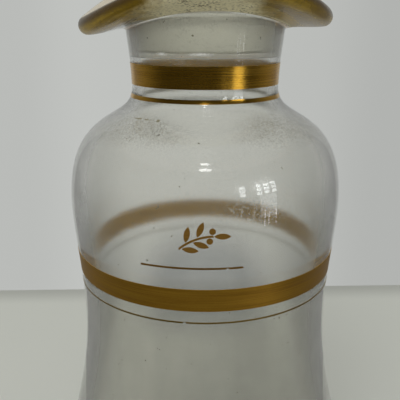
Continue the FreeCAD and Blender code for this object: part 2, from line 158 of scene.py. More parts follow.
class LipSettings(bpy.types.PropertyGroup):
    """Sizes of the collar and of the saddle-shaped lip."""
    collar_radius: length("Collar radius", "Outer radius at the collar", 21.35)
    collar_height: length("Collar height", "Height of the collar", 157.0)
    collar_sweep: length("Collar sweep", "How far the wall keeps the collar's lean below it", 3.0)
    collar_lean: angle("Collar lean", "How far the collar leans outwards", 6.6)
    crease_height: length("Crease height", "Mean height where the lip turns out", 165.5)
    crease_saddle: length("Crease saddle", "Rise and fall of the crease round the axis", 2.0)
    brim_reach: length("Brim reach", "How far the rolled edge stands out from the crease", 10.0)
    brim_height: length("Brim height", "Mean height of the rolled edge", 171.9)
    brim_saddle: length("Brim saddle", "Rise and fall of the rolled edge round the axis", 5.6)
    side_tilt: length("Side tilt", "How much higher the right side is than the middle", 0.7)
    back_tilt: length("Back tilt", "How much higher the back is than the middle", 3.6)
    turn: angle("Turn", "How far the low sides are turned from left and right", 5.0)
    sag: angle("Sag", "How far the brim droops from its chord at the edge", 15.0)
    root_sweep: length("Root sweep", "How far the brim keeps the collar's direction", 1.5)
    edge_sweep: length("Edge sweep", "How far the brim keeps its direction before the roll", 5.0)
    roll_radius: length("Roll radius", "Radius of the rolled edge", 2.3)
    seat_grind: length("Seat grind", "Glass ground away inside the collar for the stopper", 0.4)
    brim_steps: count("Brim steps", "Faces out along the brim", 14)
    roll_steps: count("Roll steps", "Faces round the rolled edge", 10)


class StopperSettings(bpy.types.PropertyGroup):
    """Sizes of the ground stopper."""
    plug_clearance: length("Plug clearance", "Gap between the plug and its seat", 0.2)
    plug_step: length("Plug step", "Height of the plug's foot above the collar", 1.2)
    plug_length: length("Plug length", "Length of the ground plug", 9.0)
    plug_chamfer: length("Plug chamfer", "Rounding at the plug's foot", 0.8)
    foot_frost: amount("Foot frost", "How many times rougher the plug's foot is than its side", 4.0)
    stem_radius: length("Stem radius", "Radius of the stem", 8.0)
    stem_rise: length("Stem rise", "Height of the stem above the plug", 8.5)
    stem_lower_sweep: length("Stem lower sweep", "Upright stretch below the stem", 3.0)
    stem_upper_sweep: length("Stem upper sweep", "Upright stretch above the stem", 4.0)
    finial_radius: length("Finial radius", "Radius of the finial", 17.0)
    finial_rise: length("Finial rise", "Height of the finial's equator above the stem", 14.5)
    finial_lower_sweep: length("Finial lower sweep", "Upright stretch below the equator", 8.5)
    finial_crown: length("Finial crown", "Height of the finial above its equator", 14.0)


class GildingSettings(bpy.types.PropertyGroup):
    """Places and looks of the fired gilding."""
    film: length("Film", "Thickness of the gilding", 0.05)
    hair_gap: length("Hair gap", "Gap that keeps the gilding off the glass", 0.03)
    lip_setback: length("Lip setback", "Bare glass from the crease to the lip's gilding", 1.2)
    mouth_setback: length("Mouth setback", "Bare glass from the crease to the gilding in the mouth", 4.5)
    steps: count("Steps", "Faces across a band", 8)
    bright: colour("Bright gold", "Colour of the thick gilding", 0.66, 0.38, 0.055)
    deep: colour("Deep gold", "Colour of the thin gilding", 0.46, 0.24, 0.02)
    waist_bright: colour("Bright waist", "Colour of the waist band's thick gilding", 0.37, 0.20, 0.014)
    waist_deep: colour("Deep waist", "Colour of the waist band's thin gilding", 0.25, 0.122, 0.005)
    lip_bright: colour("Bright lip", "Colour of the lip's brighter streaks", 0.42, 0.275, 0.03)
    lip_deep: colour("Deep lip", "Colour of the lip's deeper streaks", 0.22, 0.135, 0.008)
    # Partly painted: the dark band round the rolled edge is a painted reflection of the dim room, and the
    # mottle is the gilding's own
    lip_mottle_and_shade: colour("Shaded lip", "Colour of the lip's dark mottle and of the painted dark reflection round the rolled edge", 0.11, 0.065, 0.015)
    worn: colour("Worn gold", "Colour of the rubbed gilding at the lip's front", 0.83, 0.755, 0.51)
    pit: colour("Pits", "Colour of the dirt in the rubbed gilding", 0.15, 0.11, 0.05)
    # Partly painted: the rim is rubbed, and its pale colour is also a painted reflection of the pale wall
    rim: colour("Rim", "Colour of the lip's rubbed rim, paled by a painted reflection", 0.72, 0.64, 0.50)
    under: colour("Underside", "Colour of the gilding seen through the glass", 0.95, 0.52, 0.0)
    under_fine: colour("Fine underside", "Colour of the lines seen through the glass", 0.62, 0.52, 0.30)
    fine: colour("Fine gold", "Colour of the thin lines", 0.30, 0.20, 0.06)
    paint: colour("Painted gold", "Colour of the gilding painted by hand", 0.36, 0.185, 0.03)
    bare: colour("Bare glass", "Colour where a chip shows the glass", 0.52, 0.52, 0.49)
    stroke_depth: length("Stroke depth", "Depth of the brush marks", 0.015)
    pit_depth: length("Pit depth", "Depth of the pits in the lip's gilding", 0.05)
    rub_reach: length("Rub reach", "Distance to the side where the lip's rubbing ends", 23.0)
    rub_core: length("Rub core", "Distance to the side up to which the lip is rubbed most", 5.0)
    hem_outer: length("Hem outer", "Width of the lip gilding's pale hem", 0.8)
    hem_inner: length("Hem inner", "Place along the lip gilding where its hem is palest", -0.9)
    hem_waver: length("Hem waver", "How much the lip gilding's hem wavers", 2.0)
    rim_reach: length("Rim reach", "How far past the roll the lip's rubbed rim reaches", 5.0)
    rim_core: length("Rim core", "How far past the roll the lip's rim is rubbed most", 2.0)
    waist_chip_turn: angle("Waist chip", "Place of the waist line's chip, right of the front", -8.3)
    underline_chip_turn: angle("Underline chip", "Place of the underline's chip, right of the front", 7.8)
    chip_width: length("Chip width", "Half the width of a chip", 0.55)


class GlassSettings(bpy.types.PropertyGroup):
    """Looks of the glass."""
    tint: colour("Tint", "Colour of the glass and of its haze", 0.985, 0.982, 0.95)
    grime: colour("Grime", "Colour of the dust on the shoulder", 0.29, 0.265, 0.17)
    # Partly painted: the glass below the oil height is tinted darker, which is also painted shade over the
    # lower body
    residue_and_shade: colour("Residue", "Colour of the glass under the dried oil inside, darkened as painted shade", 0.83, 0.82, 0.775)
    # Partly painted: ground glass, whose yellow is a painted reflection of the lip's gilding in the neck
    ground: colour("Ground glass", "Colour of the ground seat and plug, yellowed by a painted reflection of the gilding", 0.98, 0.97, 0.89)
    bloom: colour("Bloom", "Colour of the pale bloom on the right of the front", 0.80, 0.78, 0.70)
    oil_height: length("Oil height", "Height up to which oil has dried inside", 96.0)
    haze: share("Haze", "Share of light that the film on the glass scatters, seen face on", 0.014)
    least_slant: share("Least slant", "Slant at which the haze stops growing towards the outline", 0.16)
    dirt_cover: share("Dirt cover", "Share of light that the thickest dirt scatters", 0.6)
    oil_thin: share("Thin oil", "Share of light that the dried oil scatters between its runs", 0.01)
    oil_thick: share("Thick oil", "Share of light that the dried oil scatters in its runs", 0.13)
    oil_waver: length("Oil waver", "How much the upper edge of the dried oil wavers", 12.0)
    oil_above: length("Oil above", "How far the dried oil fades out above its height", 14.0)
    oil_below: length("Oil below", "How far below its height the dried oil is full", 6.0)
    ground_haze: share("Ground haze", "Share of light that the ground glass scatters", 0.05)
    refraction: amount("Refraction", "Index of refraction of the glass", 1.5)
    ripple: length("Ripple", "Depth of the ripples in the glass", 0.4)
    polish: share("Polish", "Roughness of the outer glass", 0.022)
    smear: share("Smear", "Extra roughness of the oily inside", 0.14)
    frost: share("Frost", "Roughness of the ground seat and plug", 0.24)
    # Painted shade: a darker patch on the inside of the back wall stands in for the shaded table seen
    # through the lower body
    painted_back_shade: colour("Back shade", "Colour of the glass under the painted shade at the back", 0.34, 0.35, 0.365)
    back_shade_height: length("Stain height", "Height of the painted shade at the back", 71.0)
    back_shade_width: length("Stain width", "Half the width of the painted shade at the back", 40.0)
    back_shade_rise: length("Stain rise", "Half the height of the painted shade at the back", 29.0)
    dust: share("Dust", "Share of the glass that the specks of dust hide", 0.5)
    dust_thin: share("Thin dust", "Share of the glass that the dust hides between its specks", 0.11)
    dust_left_turn: angle("Left dust", "Place of the left patch of dust, right of the front", -42.0)
    dust_right_turn: angle("Right dust", "Place of the right patch of dust, right of the front", 49.0)
    dust_height: length("Dust height", "Height of the patches of dust", 138.8)
    dust_width: length("Dust width", "Half the width of a patch of dust", 27.0)
    dust_depth: length("Dust depth", "Half the depth of a patch of dust", 15.0)
    dust_rise: length("Dust rise", "Half the height of a patch of dust", 4.8)
    bloom_turn: angle("Bloom place", "Place of the pale bloom, right of the front", 19.0)
    bloom_height: length("Bloom height", "Height of the pale bloom", 122.0)
    bloom_width: length("Bloom width", "Half the width of the pale bloom", 17.0)
    bloom_depth: length("Bloom depth", "Half the depth of the pale bloom", 9.0)
    bloom_rise: length("Bloom rise", "Half the height of the pale bloom", 6.0)
    sprinkle: share("Sprinkle", "Strength of the fine dust all over the upper body", 0.11)
    sprinkle_rise: length("Sprinkle rise", "How far above the oil the fine dust is full", 24.0)
    # Two pale white patches on the front of the neck
    patch_tone: colour("Pale patch", "Colour of the pale patches on the neck", 1.0, 1.0, 1.0)
    patch_turn: angle("Patch place", "Place of the neck's larger pale patch, right of the front", -3.0)
    patch_left_turn: angle("Left patch place", "Place of the neck's smaller pale patch, right of the front", -31.0)
    patch_height: length("Patch height", "Height of the pale patches on the neck", 158.1)
    patch_width: length("Patch width", "Half the width of the larger pale patch on the neck", 4.4)
    patch_rise: length("Patch rise", "Half the height of the pale patches on the neck", 0.55)
    scratch_turn: angle("Scratch", "Place of the scratch, right of the front", -41.0)
    scratch_height: length("Scratch height", "Height of the scratch", 141.7)
    scratch_length: length("Scratch length", "Half the length of the scratch", 4.6)
    scratch_width: length("Scratch width", "Half the width of the scratch", 0.22)
    nick_turn: angle("Nick", "Place of the nick at the scratch's end, right of the front", -28.5)
    nick_size: length("Nick size", "Half the size of the nick", 0.75)


class StageSettings(bpy.types.PropertyGroup):
    """Camera, wall, room and table."""
    camera_side: length("Camera side", "Camera's place to the right of the axis", -1.45)
    camera_front: length("Camera front", "Camera's distance in front of the axis", 174.9)
    camera_height: length("Camera height", "Camera's height above the table", 166.0)
    camera_pitch: angle("Camera pitch", "How far the camera looks down", 16.533)
    camera_lens: amount("Camera lens", "Focal length on a 36 mm sensor, in millimetres", 54.16)
    table_depth: length("Table depth", "Distance of the table's far edge behind the axis", 184.0)
    table_skew: amount("Table skew", "How much deeper the table is to the right, per unit of width", 0.032)
    table_reach: length("Table reach", "How far the table spreads to the sides and front", 1600.0)
    table_top: colour("Table", "Colour of the table", 0.74, 0.745, 0.69)
    wall: colour("Wall", "Colour of the wall and of the room's light", 0.489, 0.50, 0.483)
    ambient: share("Ambient", "Share of the wall's brightness that lights the table and the haze", 0.97)
    glow: amount("Wall glow", "How many times brighter the wall is behind the bottle", 1.09)
    glow_from: angle("Glow from", "Angle from straight ahead where the glow starts to fade", 10.5)
    glow_to: angle("Glow to", "Angle from straight ahead where the glow ends", 17.0)
    side_high: share("Side wall, high", "Brightness of the wall's top at its sides, for the glass", 0.86)
    side_low: share("Side wall, low", "Brightness of the wall's foot at its sides, for the glass", 0.46)
    side_table: share("Side table", "Brightness left at the sides of the table, for the glass", 0.42)
    table_from: length("Table from", "Distance aside where the table starts to dim for the glass", 63.0)
    table_to: length("Table to", "Distance aside where the table is dimmest for the glass", 92.0)
    side_from: angle("Side from", "Angle from straight ahead where the wall starts to dim", 5.0)
    side_to: angle("Side to", "Angle from straight ahead where the wall is dimmest", 34.0)
    edge_shade: share("Edge shade", "Brightness left at the table's far edge", 0.72)
    edge_width: length("Edge width", "Width of the shade along the table's far edge", 22.0)
    wall_right: share("Right wall", "Brightness of the wall's right side", 0.9)
    wall_fade: amount("Wall fade", "Sideways part of the direction at which the wall has dimmed", 0.35)
    wall_foot: amount("Wall foot", "Upward part of the direction to the wall's foot", -0.42)
    wall_top: amount("Wall top", "Upward part of the direction to the wall's top", -0.12)
    room: colour("Room", "Colour of the dim room", 1.0, 1.0, 0.98)
    room_near: length("Room near", "Distance from the axis where the dim room's floor starts", 130.0)
    room_far: length("Room far", "Distance from the axis to the dim room's wall", 800.0)
    room_height: length("Room height", "Height of the dim room's wall", 800.0)
    room_lift: length("Room lift", "Height of the dim room's floor over the table", 1.5)
    room_dark: amount("Room dark", "Backward part of the direction up to which the room is dim", -0.5)
    room_light: amount("Room light", "Backward part of the direction from which the room is light", 0.6)
    room_front: share("Room in front", "Brightness of the dim room in front of the bottle", 0.05)
    room_side: share("Room beside", "Brightness of the dim room at the bottle's sides", 0.26)


SETTINGS = {
    "body": BodySettings,
    "lip": LipSettings,
    "stopper": StopperSettings,
    "gilding": GildingSettings,
    "glass": GlassSettings,
    "stage": StageSettings,
}


class BottleSettings(bpy.types.PropertyGroup):
    """All settings of the bottle."""
    body: PointerProperty(type=BodySettings)
    lip: PointerProperty(type=LipSettings)
    stopper: PointerProperty(type=StopperSettings)
    gilding: PointerProperty(type=GildingSettings)
    glass: PointerProperty(type=GlassSettings)
    stage: PointerProperty(type=StageSettings)


def settings():
    """The scene's own settings."""
    return bpy.context.scene.oil_bottle


# Curves in the section plane, where x is the radius and y the height

def cubic(poles, at):
    """Point and outward normal of a cubic curve at a share of its parameter."""
    a, b, c, d = [Vector(pole) for pole in poles]
    left = 1 - at
    point = a * left ** 3 + b * (3 * left ** 2 * at) + c * (3 * left * at ** 2) + d * at ** 3
    run = (b - a) * left ** 2 + (c - b) * (2 * left * at) + (d - c) * at ** 2
    run.normalize()
    return point, Vector((run.y, -run.x))


def upright_stretch(start, end, start_sweep, end_sweep):
    """Poles of a curve between two stations that stands upright at both."""
    return start, (start[0], start[1] + start_sweep), (end[0], end[1] - end_sweep), end


def along(turn):
    """Unit vector at an angle from the level."""
    return Vector((math.cos(turn), math.sin(turn)))


def body_curves(body, lip):
    """Poles of the outer profile from the resting ring up to the collar."""
    round_out = QUARTER_ELLIPSE * (body.heel_radius - body.rest_radius)
    round_up = QUARTER_ELLIPSE * body.heel_height
    slope = math.tan(lip.collar_lean)
    rest = (body.rest_radius, 0)
    heel = (body.heel_radius, body.heel_height)
    waist = (body.waist_radius, body.waist_height)
    shoulder = (body.shoulder_radius, body.shoulder_height)
    neck = (body.neck_radius, body.neck_height)
    neck_above = (body.neck_radius, body.neck_height + body.neck_upper_sweep)
    collar = (lip.collar_radius, lip.collar_height)
    collar_below = (lip.collar_radius - lip.collar_sweep * slope, lip.collar_height - lip.collar_sweep)
    return [
        (rest, (body.rest_radius + round_out, 0), (body.heel_radius, body.heel_height - round_up), heel),
        upright_stretch(heel, waist, body.heel_sweep, body.waist_lower_sweep),
        upright_stretch(waist, shoulder, body.waist_upper_sweep, body.shoulder_lower_sweep),
        upright_stretch(shoulder, neck, body.shoulder_upper_sweep, body.neck_lower_sweep),
        (neck, neck_above, collar_below, collar),
    ]


def place_at(curves, height):
    """Point and outward normal of a profile of rising curves at a height."""
    poles = next((curve for curve in curves if height <= curve[3][1]), curves[-1])
    low, high = 0.0, 1.0
    for _ in range(HALVINGS):
        middle = (low + high) / 2
        if cubic(poles, middle)[0].y < height:
            low = middle
        else:
            high = middle
    return cubic(poles, low)


def wall_rows(body, lip):
    """Outer wall from the resting ring to the collar, as (point, outward normal, thickness)."""
    walls = (body.body_wall, body.body_wall, body.body_wall, body.body_wall, body.neck_wall, body.neck_wall)
    rows = []
    for index, poles in enumerate(body_curves(body, lip)):
        for step in range(body.curve_steps):
            at = step / body.curve_steps
            rows.append((*cubic(poles, at), walls[index] + (walls[index + 1] - walls[index]) * at))
    rows.append((*cubic(poles, 1.0), body.neck_wall))
    return rows


# The lip's section, which depends on a wave and a tilt that change round the axis

def crease_point(lip, wave):
    """Where the collar ends and the lip turns out."""
    height = lip.crease_height - lip.crease_saddle * wave
    return Vector((lip.collar_radius + (height - lip.collar_height) * math.tan(lip.collar_lean), height))


def roll_centre(lip, wave, tilt):
    """Centre of the rolled edge."""
    height = lip.brim_height - lip.brim_saddle * wave + tilt
    return Vector((crease_point(lip, 0).x + lip.brim_reach, height))


def brim_direction(lip, wave, tilt):
    """Angle from the level at which the brim runs into its rolled edge."""
    chord = roll_centre(lip, wave, tilt) - crease_point(lip, wave)
    return math.atan2(chord.y, chord.x) - lip.sag


def brim_poles(lip, wave, tilt):
    """Poles of the lip's underside from the crease to the rolled edge."""
    start = crease_point(lip, wave)
    direction = brim_direction(lip, wave, tilt)
    end = roll_centre(lip, wave, tilt) + along(direction - math.pi / 2) * lip.roll_radius
    leave = start + Vector((math.tan(lip.collar_lean), 1)) * lip.root_sweep
    return start, leave, end - along(direction) * lip.edge_sweep, end


def under_rows(lip, wave, tilt, first=0.0):
    """Points and outward normals out along the lip's underside, from a first share of the way."""
    poles = brim_poles(lip, wave, tilt)
    shares = [first + (1 - first) * step / lip.brim_steps for step in range(lip.brim_steps)]
    return [(at, *cubic(poles, at)) for at in shares]


def roll_rows(lip, wave, tilt):
    """Points and outward normals round the rolled edge, from under the brim to its top."""
    centre = roll_centre(lip, wave, tilt)
    direction = brim_direction(lip, wave, tilt) - math.pi / 2
    turns = [direction + math.pi * step / lip.roll_steps for step in range(lip.roll_steps + 1)]
    return [(centre + along(turn) * lip.roll_radius, along(turn)) for turn in turns]


def upper_rows(lip, neck_wall, wave, tilt, first=0.0):
    """Points and outward normals back along the lip's upper side, which thins towards the neck."""
    rows = []
    for at, point, normal in reversed(under_rows(lip, wave, tilt, first)):
        thickness = neck_wall + (2 * lip.roll_radius - neck_wall) * at
        rows.append((point - normal * thickness, -normal))
    return rows


def seat_radius(body, lip, height):
    """Radius of the ground seat, a cone that runs parallel to the collar."""
    rise = (height - lip.collar_height) * math.tan(lip.collar_lean)
    return lip.collar_radius - body.neck_wall + lip.seat_grind + rise


# Sections of the pieces, as lists of points, with a mark on the rows that are frosted or face the glass

def dish_height(radius, rim_radius, depth, rim_height):
    """Height of a shallow spherical dish at a radius."""
    ball = (rim_radius ** 2 + depth ** 2) / (2 * depth)
    return rim_height + depth - ball + math.sqrt(ball ** 2 - radius ** 2)


def underside_points(body):
    """Underside of the base, from the axis over the polished mark and the dish to the resting ring."""
    mark_height = body.kick_depth * (1 - (body.pontil_radius / body.kick_radius) ** 2)
    mark_depth = body.kick_depth - mark_height + body.pontil_depth
    points = []
    for step in range(PONTIL_STEPS):
        radius = body.pontil_radius * step / PONTIL_STEPS
        points.append(Vector((radius, dish_height(radius, body.pontil_radius, mark_depth, mark_height))))
    for step in range(KICK_STEPS):
        radius = body.pontil_radius + (body.kick_radius - body.pontil_radius) * step / KICK_STEPS
        points.append(Vector((radius, dish_height(radius, body.kick_radius, body.kick_depth, 0))))
    return points + [Vector((body.kick_radius, 0))]


def floor_points(body, lip):
    """Inside of the base, from the wall round the fillet to the axis."""
    height = body.base_thickness + body.floor_fillet
    point, normal = place_at(body_curves(body, lip), height)
    centre = Vector(((point - normal * body.body_wall).x - body.floor_fillet, height))
    turns = [-math.pi / 2 * step / FILLET_STEPS for step in range(FILLET_STEPS + 1)]
    fillet = [centre + along(turn) * body.floor_fillet for turn in turns]
    shares = [step / FLOOR_STEPS for step in range(1, FLOOR_STEPS + 1)]
    flat = [Vector((fillet[-1].x * (1 - at), body.base_thickness)) for at in shares]
    return fillet + flat


def glass_section(bottle, wave, tilt):
    """The glass from the axis under its base, up the outside, over the lip and down the inside."""
    body, lip = bottle.body, bottle.lip
    rows = wall_rows(body, lip)
    outside = [point for point, normal, thickness in rows]
    under = [point for at, point, normal in under_rows(lip, wave, tilt)]
    roll = [point for point, normal in roll_rows(lip, wave, tilt)]
    upper = [point for point, normal in upper_rows(lip, body.neck_wall, wave, tilt)]
    seat_top = upper[-1]
    seat_foot = Vector((seat_radius(body, lip, lip.collar_height), lip.collar_height))
    seat = [seat_top.lerp(seat_foot, step / SEAT_STEPS) for step in range(1, SEAT_STEPS + 1)]
    lip_part = []
    for point in upper + seat:
        lip_part.append(Vector((max(point.x, seat_radius(body, lip, point.y)), point.y)))
    floor = floor_points(body, lip)
    inside = [point - normal * thickness for point, normal, thickness in reversed(rows)]
    inside = [point for point in inside if floor[0].y < point.y <= lip.collar_height]
    points = underside_points(body) + outside + under + roll + lip_part + inside + floor
    frosted = len(points) - len(floor) - len(inside) - len(seat)
    return points, dict.fromkeys(range(frosted - FROST_ABOVE_SEAT, frosted + len(seat)), 1.0)


def stopper_curves(bottle):
    """Poles of the stopper's profile above its plug."""
    stopper = bottle.stopper
    plug_top = bottle.lip.collar_height + stopper.plug_step + stopper.plug_length
    shoulder = (seat_radius(bottle.body, bottle.lip, plug_top) - stopper.plug_clearance, plug_top)
    stem = (stopper.stem_radius, plug_top + stopper.stem_rise)
    equator = (stopper.finial_radius, stem[1] + stopper.finial_rise)
    crown = (0, equator[1] + stopper.finial_crown)
    round_up = (stopper.finial_radius, equator[1] + QUARTER_ELLIPSE * stopper.finial_crown)
    round_in = (QUARTER_ELLIPSE * stopper.finial_radius, crown[1])
    return [
        upright_stretch(shoulder, stem, stopper.stem_lower_sweep, stopper.stem_lower_sweep),
        upright_stretch(stem, equator, stopper.stem_upper_sweep, stopper.finial_lower_sweep),
        (equator, round_up, round_in, crown),
    ]


def stopper_section(bottle):
    """The stopper from the axis under its plug, up the outside and over the crown."""
    body, lip, stopper = bottle.body, bottle.lip, bottle.stopper
    foot = lip.collar_height + stopper.plug_step
    cone_foot = foot + stopper.plug_chamfer
    top = foot + stopper.plug_length
    cone_radius = seat_radius(body, lip, cone_foot) - stopper.plug_clearance
    corner = Vector((cone_radius - stopper.plug_chamfer, cone_foot))
    points = [Vector((corner.x * step / PLUG_FOOT_STEPS, foot)) for step in range(PLUG_FOOT_STEPS)]
    points += [corner + along(math.radians(turn)) * stopper.plug_chamfer for turn in CHAMFER_TURNS]
    cone_start = len(points)
    for step in range(PLUG_STEPS):
        height = cone_foot + (top - cone_foot) * step / PLUG_STEPS
        points.append(Vector((seat_radius(body, lip, height) - stopper.plug_clearance, height)))
    frosted = dict.fromkeys(range(cone_start), stopper.foot_frost)
    frosted.update(dict.fromkeys(range(cone_start, len(points) + 1), 1.0))
    for poles in stopper_curves(bottle):
        points += [cubic(poles, step / body.curve_steps)[0] for step in range(body.curve_steps)]
    points.append(Vector(poles[3]))
    return points, frosted


def film_section(skin, gilding):
    """Closed strip of gilding a hair off a skin of (point, outward normal), with its inner side marked."""
    outer = [point + normal * (gilding.hair_gap + gilding.film) for point, normal in skin]
    inner = [point + normal * gilding.hair_gap for point, normal in reversed(skin)]
    return outer + inner + outer[:1], dict.fromkeys(range(len(outer), len(outer) + len(inner)), 1.0)


def band_section(curves, low, high, gilding):
    """Strip of gilding on a profile between two heights."""
    heights = [low + (high - low) * step / gilding.steps for step in range(gilding.steps + 1)]
    return film_section([place_at(curves, height) for height in heights], gilding)


def first_share(poles, setback):
    """Share of a curve's parameter that lies a setback past its start."""
    point, travelled, at = cubic(poles, 0)[0], 0.0, 0.0
    while travelled < setback:
        at += SEARCH_STEP
        following = cubic(poles, at)[0]
        travelled += (following - point).length
        point = following
    return at


def lip_film_section(bottle, wave, tilt):
    """Strip of gilding out under the lip, round its roll and back into the mouth."""
    lip, gilding = bottle.lip, bottle.gilding
    poles = brim_poles(lip, wave, tilt)
    under = under_rows(lip, wave, tilt, first_share(poles, gilding.lip_setback))
    upper = upper_rows(lip, bottle.body.neck_wall, wave, tilt, first_share(poles, gilding.mouth_setback))
    skin = [(point, normal) for at, point, normal in under] + roll_rows(lip, wave, tilt) + upper
    return film_section(skin, gilding)


# Node trees

def wire(tree, kind, inputs=None, **options):
    """New node with its options set and its inputs linked or given values, by name or number."""
    made = tree.nodes.new(kind)
    for key, value in options.items():
        setattr(made, key, value)
    for key, value in (inputs or {}).items():
        if isinstance(value, bpy.types.NodeSocket):
            tree.links.new(value, made.inputs[key])
        else:
            made.inputs[key].default_value = value
    return made


def calc(tree, operation, *values):
    """Result of a math node."""
    return wire(tree, "ShaderNodeMath", dict(enumerate(values)), operation=operation).outputs[0]


def parts_of(tree, vector):
    """The three parts of a vector."""
    return wire(tree, "ShaderNodeSeparateXYZ", {0: vector}).outputs


def joined(tree, *values):
    """Vector from three parts."""
    return wire(tree, "ShaderNodeCombineXYZ", dict(enumerate(values))).outputs[0]


def lathe_tree():
    """Geometry nodes that turn a section round the axis, with a saddle and a tilt, into a closed mesh."""
    tree = bpy.data.node_groups.new("lathe", "GeometryNodeTree")
    face = tree.interface
    face.new_socket("Section", in_out="INPUT", socket_type="NodeSocketGeometry")
    for name, kind in (
        ("Steps Round", "NodeSocketInt"),
        ("From Angle", "NodeSocketFloat"),
        ("To Angle", "NodeSocketFloat"),
        ("Saddle Turn", "NodeSocketFloat"),
        ("Side Tilt", "NodeSocketFloat"),
        ("Back Tilt", "NodeSocketFloat"),
        ("Merge Distance", "NodeSocketFloat"),
        ("Sharp Angle", "NodeSocketFloat"),
        ("Material", "NodeSocketMaterial"),
    ):
        face.new_socket(name, in_out="INPUT", socket_type=kind)
    face.new_socket("Piece", in_out="OUTPUT", socket_type="NodeSocketGeometry")

    given = tree.nodes.new("NodeGroupInput").outputs
    section = given["Section"]
    size = wire(tree, "GeometryNodeAttributeDomainSize", {"Geometry": section}, component="MESH")
    rows = size.outputs["Point Count"]
    columns = calc(tree, "ADD", given["Steps Round"], 1)
    grid = wire(tree, "GeometryNodeMeshGrid", {"Vertices X": columns, "Vertices Y": rows})
    index = wire(tree, "GeometryNodeInputIndex").outputs[0]
    column = calc(tree, "FLOOR", calc(tree, "DIVIDE", calc(tree, "ADD", index, 0.5), rows))
    row = calc(tree, "SUBTRACT", index, calc(tree, "MULTIPLY", column, rows))
    whole = calc(tree, "SUBTRACT", given["To Angle"], given["From Angle"])
    passed = calc(tree, "DIVIDE", column, given["Steps Round"])
    turn = calc(tree, "MULTIPLY_ADD", whole, passed, given["From Angle"])
    cosine = calc(tree, "COSINE", turn)
    sine = calc(tree, "SINE", turn)
    past_low = calc(tree, "SUBTRACT", turn, given["Saddle Turn"])
    wave = calc(tree, "COSINE", calc(tree, "MULTIPLY", past_low, 2.0))
    side = calc(tree, "MULTIPLY", given["Side Tilt"], cosine)
    tilt = calc(tree, "MULTIPLY_ADD", given["Back Tilt"], sine, side)

    def sampled(kind, value):
        """Value of the section at this row."""
        picks = wire(tree, "GeometryNodeSampleIndex", {"Geometry": section, "Index": row},
                     data_type=kind, domain="POINT")
        tree.links.new(value, picks.inputs["Value"])
        return picks.outputs["Value"]

    def named(kind, name):
        """Attribute of the section at this row."""
        read = wire(tree, "GeometryNodeInputNamedAttribute", {"Name": name}, data_type=kind)
        return sampled(kind, read.outputs["Attribute"])

    def moved(start, shift, times):
        """Point moved by a shift of the section, so many times."""
        given_shift = named("FLOAT_VECTOR", shift)
        return wire(tree, "ShaderNodeVectorMath", {0: given_shift, 1: times, 2: start},
                    operation="MULTIPLY_ADD").outputs[0]

    middle = sampled("FLOAT_VECTOR", wire(tree, "GeometryNodeInputPosition").outputs[0])
    lifted = moved(middle, "saddle_shift", wave)
    radius, _, height = parts_of(tree, moved(lifted, "tilt_shift", tilt))
    x = calc(tree, "MULTIPLY", radius, cosine)
    y = calc(tree, "MULTIPLY", radius, sine)
    spot = joined(tree, x, y, height)
    turned = wire(tree, "GeometryNodeSetPosition", {"Geometry": grid.outputs["Mesh"], "Position": spot})
    kept = turned
    for name in ("marked", "run"):
        kept = wire(tree, "GeometryNodeStoreNamedAttribute",
                    {"Geometry": kept.outputs[0], "Name": name, "Value": named("FLOAT", name)},
                    data_type="FLOAT", domain="POINT")
    closed = wire(tree, "GeometryNodeMergeByDistance",
                  {"Geometry": kept.outputs[0], "Distance": given["Merge Distance"]})
    smooth = wire(tree, "GeometryNodeSetShadeSmooth", {"Geometry": closed.outputs[0]}, domain="FACE")
    bend = wire(tree, "GeometryNodeInputMeshEdgeAngle").outputs["Unsigned Angle"]
    gentle = calc(tree, "LESS_THAN", bend, given["Sharp Angle"])
    creased = wire(tree, "GeometryNodeSetShadeSmooth",
                   {"Geometry": smooth.outputs[0], "Shade Smooth": gentle}, domain="EDGE")
    real = wire(tree, "GeometryNodeRealizeInstances", {"Geometry": creased.outputs[0]})
    dressed = wire(tree, "GeometryNodeSetMaterial",
                   {"Geometry": real.outputs[0], "Material": given["Material"]})
    wire(tree, "NodeGroupOutput", {"Piece": dressed.outputs[0]})
    return tree


